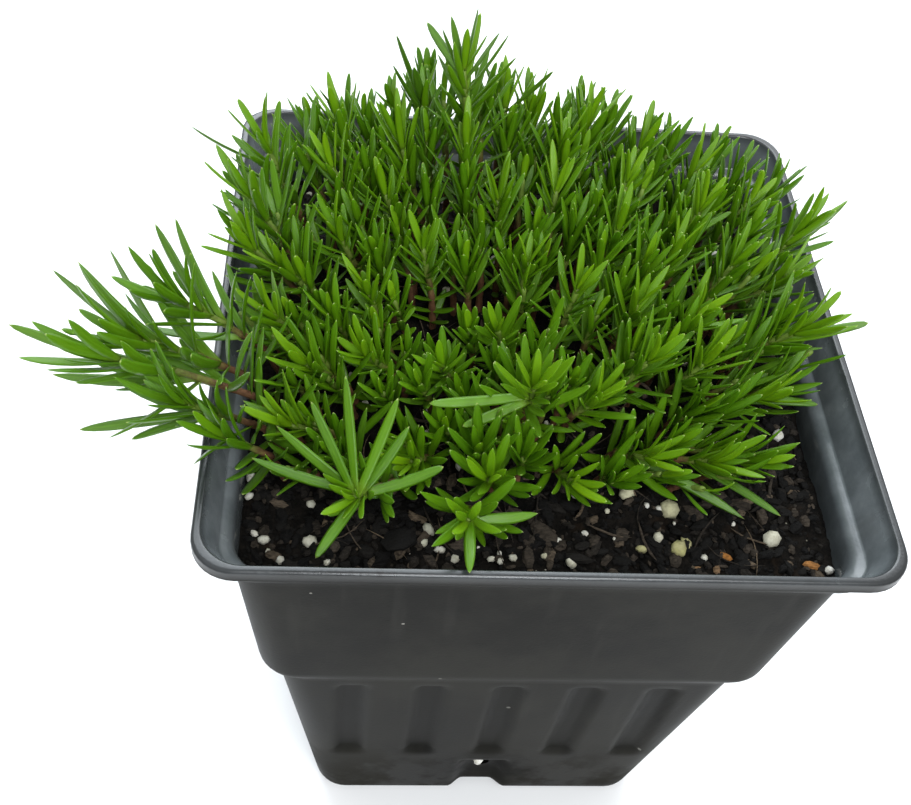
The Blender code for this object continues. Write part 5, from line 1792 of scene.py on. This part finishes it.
def leaf_points(leaves, draw):
    """Points of every leaf of a shoot, and where each lies along and across its leaf. The centre
    line is the curve (1-t)^2 base + 2t(1-t) control + t^2 tip that passes through the middle. The
    section is scaled by the width there, raised to a power that makes the leaf blunt or slender,
    and twisted a little towards the tip. Its upper side faces up the stem."""
    paths = np.array([leaf[0] for leaf in leaves])
    width = np.array([leaf[1] for leaf in leaves])
    out = np.array([leaf[2] for leaf in leaves])
    stem = np.array([leaf[3] for leaf in leaves])
    base, middle, tip = paths[:, 0], paths[:, 1], paths[:, 3]
    control = 2 * middle - (base + tip) / 2
    t = np.array((*LEAF_STATIONS, 1.0))[None, :, None]
    line = (
        (1 - t) ** 2 * base[:, None] + 2 * t * (1 - t) * control[:, None] + t**2 * tip[:, None]
    )
    tangent = unit(np.gradient(line, axis=1))
    side = unit(np.cross(stem, out))[:, None]
    side = unit(side - (side * tangent).sum(-1, keepdims=True) * tangent)
    up = np.cross(side, tangent)
    up = up * np.sign((up * stem[:, None]).sum(-1, keepdims=True) + UPWARDS)
    twist = draw.uniform(-LEAF_TWIST, LEAF_TWIST, len(leaves))[:, None, None] * t
    side, up = np.cos(twist) * side + np.sin(twist) * up, np.cos(twist) * up - np.sin(twist) * side
    section = np.array(LEAF_SECTION)
    blunt = draw.uniform(*BLUNTNESS, len(leaves))[:, None, None, None]
    widths = np.array(LEAF_WIDTHS)[None, :, None, None] ** blunt
    half = (width / 2)[:, None, None, None] * widths
    rings = (
        line[:, :-1, None]
        + half * section[:, 0][:, None] * side[:, :-1, None]
        + half * section[:, 1][:, None] * up[:, :-1, None]
    )
    count = len(leaves)
    points = np.concatenate([rings.reshape(count, -1, 3), base[:, None], tip[:, None]], axis=1)
    sides = len(section)
    along = np.concatenate([np.repeat(LEAF_STATIONS, sides), (0.0, 1.0)])
    across = np.concatenate([np.tile(section[:, 0], len(LEAF_STATIONS)), (0.0, 0.0)])
    return points, np.tile(along, count), np.tile(across, count)


def make_leaves(name, leaves, seed, finish, nodes=()):
    """All leaves of one shoot, or of a few small ones, as one piece."""
    draw = np.random.default_rng([PLANT_SEED, seed])
    points, along, across = leaf_points(leaves, draw)
    size = points.shape[1]
    quads, triangles = tube_faces(len(leaves), len(LEAF_STATIONS), len(LEAF_SECTION))
    shoot_tone = draw.uniform(*SHOOT_TONE)
    tone = np.clip(shoot_tone + draw.normal(0, TONE_SPREAD, len(leaves)), 0, 1)
    age = np.array([leaf[4] for leaf in leaves])
    values = {
        "along": along, "across": across, "tone": np.repeat(tone, size), "age": np.repeat(age, size),
    }
    return make_piece(name, points, quads, triangles, finish, nodes, values)


print("faces a leaf", sum(map(len, tube_faces(1, len(LEAF_STATIONS), len(LEAF_SECTION)))))

# %% [markdown]
# The green deepens with age: yellow-green at the bud, full green on the open pairs. Each leaf has a
# pale foot, a slightly paler midrib and a straw-coloured point. The colours blend by the values that
# each leaf carries, so the pattern follows the leaf however it lies. A little light passes through
# the blade, which subsurface scattering gives.

# %% The leaf's finish
GROWN_LEAF = ((0.048, 0.138, 0.0008), (0.092, 0.218, 0.0015))
YOUNG_LEAF = ((0.104, 0.236, 0.001), (0.170, 0.322, 0.003))
OLD_LEAF = ((0.038, 0.094, 0.007), (0.070, 0.142, 0.016))
LEAF_STREAK = (0.110, 0.255, 0.008)
LEAF_RIB = (0.120, 0.278, 0.010)
LEAF_EDGE = (0.020, 0.080, 0.003)
LEAF_FOOT = (0.210, 0.305, 0.034)
LEAF_POINT = (0.42, 0.46, 0.16)
LEAF_GLOW = (0.6, 1.0, 0.15)
STREAK_STRETCH = (4.0, 5.0, 1.0)
TONE_STEP = 40.0


def leaf_finish():
    """Green by the leaf's tone and age, then its streaks, rib, edges, foot and point. The streaks
    are drawn in the leaf's own coordinates, a step apart for each tone."""
    finish, tree, shader, _ = new_finish("phlox_leaf_green", roughness=0.40)
    along, across = attribute(tree, "along"), attribute(tree, "across")
    tone, age = attribute(tree, "tone"), attribute(tree, "age")
    step = times(tree, tone, TONE_STEP)
    place = node(tree, "CombineXYZ", {0: across, 1: along, 2: step}).outputs[0]
    streaks = noise(tree, stretch(tree, place, STREAK_STRETCH), scale=1.6, detail=4.0, roughness=0.6)
    grown, young, old = (
        blend(tree, tone, *shades) for shades in (GROWN_LEAF, YOUNG_LEAF, OLD_LEAF)
    )
    from_rib = maths(tree, "ABSOLUTE", across)
    colour = paint(
        tree, blend(tree, remap(tree, age, low=0.0, high=0.34), young, grown),
        (remap(tree, age, low=0.80, high=1.15), old),
        (remap(tree, streaks, low=0.38, high=0.66, to_high=0.35), LEAF_STREAK),
        (remap(tree, from_rib, low=0.34, high=0.0, to_high=0.30), LEAF_RIB),
        (remap(tree, from_rib, low=0.70, high=1.0, to_high=0.30), LEAF_EDGE),
        (remap(tree, along, low=0.22, high=0.0, to_high=0.55), LEAF_FOOT),
        (remap(tree, along, low=0.965, high=1.0, to_high=0.75), LEAF_POINT),
    )
    rough = remap(tree, streaks, low=0.3, high=0.7, to_low=0.30, to_high=0.46)
    normal = bump(tree, streaks, distance=0.00008, strength=0.7)
    shader.inputs["Specular IOR Level"].default_value = 0.38
    shader.inputs["Subsurface Weight"].default_value = 0.12
    shader.inputs["Subsurface Radius"].default_value = LEAF_GLOW
    shader.inputs["Subsurface Scale"].default_value = 0.0008
    feed(tree, shader, Base_Color=colour, Roughness=rough, Normal=normal)
    return finish


SIDE_GROUP = 12
LEAF_FINISH = leaf_finish()
leaf_faces = 0
for i, leaves in enumerate(LEAVES):
    name = f"shoot_{i + 1:02d}"
    piece = make_leaves(name + "_leaves", leaves, 900 + i, LEAF_FINISH, [name])
    leaf_faces += len(piece.data.polygons)
for i in range(0, len(SIDE_SHOOTS), SIDE_GROUP):
    leaves = [leaf for shoot in SIDE_SHOOTS[i : i + SIDE_GROUP] for leaf in shoot[3]]
    piece = make_leaves(f"side_shoots_{i // SIDE_GROUP + 1:02d}_leaves", leaves, 2000 + i, LEAF_FINISH)
    leaf_faces += len(piece.data.polygons)
print("leaf faces", leaf_faces)

# %% [markdown]
# ## Stems
#
# The stems run under the leaves and show here and there: woody and red-brown near the root, green
# and finely hairy towards the tip, with a swelling wherever a pair of leaves sits. Each is a round
# tube along the same curve as the solid's stem, its radius raised a little at each swelling.

# %% Stems
STEM_STATIONS = 26
STEM_SIDES = 9
STEM_FINE_RADIUS = (0.00072, 0.00046)
STEM_FOOT_Z = SOIL_Z - STEM_DEPTH
KNOT_RISE = 0.22
KNOT_WIDTH = 0.16
STEM_END = 0.97
STEM_END_SHARE = 0.7
WOOD = ((0.060, 0.024, 0.011), (0.185, 0.085, 0.038))
GREEN_STEM = ((0.110, 0.170, 0.020), (0.160, 0.250, 0.030))
UNEVEN = 0.15


def stem_radius(t, length, full):
    """Radius along a stem: a steady taper, times 1 plus a swelling at each pair of leaves, and
    drawn in at the tip."""
    back = (1 - t) * length
    pair = (back - FIRST_PAIR_BACK) / (PAIR_PITCH * full)
    swelling = np.exp(-((pair - np.round(pair)) / KNOT_WIDTH) ** 2)
    taper = STEM_FINE_RADIUS[0] + t * (STEM_FINE_RADIUS[1] - STEM_FINE_RADIUS[0])
    return taper * (1 + KNOT_RISE * swelling) * np.where(t > STEM_END, STEM_END_SHARE, 1.0)


def make_stem(name, root, tip, full, finish):
    """A tube through the points of the solid's stem, from a little below the mix to the tip."""
    foot = np.array([root[0], root[1], STEM_FOOT_Z])
    knots = np.vstack([foot, stem_path(root, tip, STEM_POINTS)])
    steps = np.linalg.norm(np.diff(knots, axis=0), axis=1)
    marks = np.concatenate([[0], np.cumsum(steps)])
    t = np.linspace(0, 1, STEM_STATIONS)
    line = np.stack([np.interp(t * marks[-1], marks, knots[:, k]) for k in range(3)], 1)
    radius = stem_radius(t, marks[-1], full)
    points = tube_points(line[None], radius[None], STEM_SIDES)[0]
    quads, triangles = tube_faces(1, STEM_STATIONS, STEM_SIDES)
    along = np.concatenate([np.repeat(t, STEM_SIDES), (0.0, 1.0)])
    return make_piece(
        name, points, quads, triangles, finish, values={"along": along}
    )


def stem_finish():
    """Wood below and green above, with an uneven line between them."""
    finish, tree, shader, place = new_finish("phlox_stem", roughness=0.62)
    along = attribute(tree, "along")
    mask, height = patches(tree, place, coarse=380.0, fine=1900.0, share=0.45)
    wood, green = (blend(tree, mask, *shades) for shades in (WOOD, GREEN_STEM))
    line = maths(tree, "ADD", along, times(tree, mask, UNEVEN))
    share = remap(tree, line, low=0.62, high=0.92)
    normal = bump(tree, height, distance=0.0002, strength=0.7)
    feed(tree, shader, Base_Color=blend(tree, share, wood, green), Normal=normal)
    return finish


STEM_FINISH = stem_finish()
for i, (root, tip, shoot) in enumerate(zip(ROOTS, TIPS, SHOOTS)):
    make_stem(f"shoot_{i + 1:02d}_stem", root, tip, shoot[3], STEM_FINISH)
for i, (root, tip, full, _) in enumerate(SIDE_SHOOTS):
    make_stem(f"side_shoot_{i + 1:03d}_stem", root, tip, full, STEM_FINISH)
print("stems", len(SHOOTS) + len(SIDE_SHOOTS))

# %% [markdown]
# ## The studio
#
# A pale floor under an even, bright sky stands in for a cloudy day. Light from all round keeps the
# shadows soft. Two broad lamps behind, one above and one further off, give the leaves and the lip
# their cool sheen. A small one above the front lights the leaves from the side of the camera, and the
# smallest, lower down, opens up the pot's walls. A picture of a sky could do the same, but four lamps
# can be placed one by one.

# %% Floor, sky and lamps
SKY_STRENGTH = (0.45, 1.00)
SKY_FULL_FROM = 0.8
SKY_COLOUR = (0.96, 0.98, 1.0, 1.0)
FLOOR_HALF = 3.0
FLOOR_TINTS = ((0.86, 0.86, 0.86), (0.90, 0.90, 0.90))
LAMP_AIM = (0.0, 0.0, 0.10)
LAMPS = (
    ("sky_lamp", (-0.15, 0.75, 0.85), 0.9, 10.0, (0.86, 0.94, 1.0)),
    ("window_lamp", (0.15, -0.60, 0.95), 0.35, 5.0, (0.97, 0.98, 1.0)),
    ("front_lamp", (0.10, -0.95, 0.62), 0.25, 4.0, (0.90, 0.96, 1.0)),
    ("back_lamp", (0.30, 1.12, 0.80), 1.2, 10.0, (0.90, 0.95, 1.0)),
)


def make_floor():
    """A flat square with a matt, nearly white finish."""
    finish, tree, shader, place = new_finish("pale_floor", roughness=0.7)
    tint = blend(tree, noise(tree, place, scale=6.0), *FLOOR_TINTS)
    feed(tree, shader, Base_Color=tint)
    corners = FLOOR_HALF * np.array([(-1, -1, 0), (1, -1, 0), (1, 1, 0), (-1, 1, 0)])
    mesh = bpy.data.meshes.new("floor")
    mesh.from_pydata(corners.tolist(), [], [(0, 1, 2, 3)])
    mesh.materials.append(finish)
    floor = add_object("floor", mesh)


def make_lamp(name, place, size, power, colour):
    """A square lamp turned towards the plant: its back, its right and what is over it are the
    three directions of its own axes."""
    data = bpy.data.lights.new(name, "AREA")
    data.size = size
    data.energy = power
    data.color = colour
    lamp = add_object(name, data)
    back = unit(np.array(place) - LAMP_AIM)
    right = unit(np.cross((0, 0, 1), back))
    over = np.cross(back, right)
    turn = Matrix([[*row, 0.0] for row in np.stack([right, over, back], 1)] + [[0, 0, 0, 1]])
    lamp.matrix_world = Matrix.Translation(place) @ turn


def make_sky():
    """A sky that is dimmest at the horizon and brightest overhead."""
    world = bpy.data.worlds.new("cloudy_sky")
    bpy.context.scene.world = world
    world.use_nodes = True
    tree = world.node_tree
    up = node(tree, "SeparateXYZ", {0: node(tree, "TexCoord").outputs["Generated"]}).outputs[2]
    background = tree.nodes["Background"]
    background.inputs["Color"].default_value = SKY_COLOUR
    strength = remap(tree, up, 0.0, SKY_FULL_FROM, *SKY_STRENGTH)
    tree.links.new(strength, background.inputs["Strength"])


make_floor()
make_sky()
for lamp in LAMPS:
    make_lamp(*lamp)
bpy.context.scene.view_settings.view_transform = "Standard"
bpy.context.scene.view_settings.look = "None"
print("lamps", len(LAMPS))
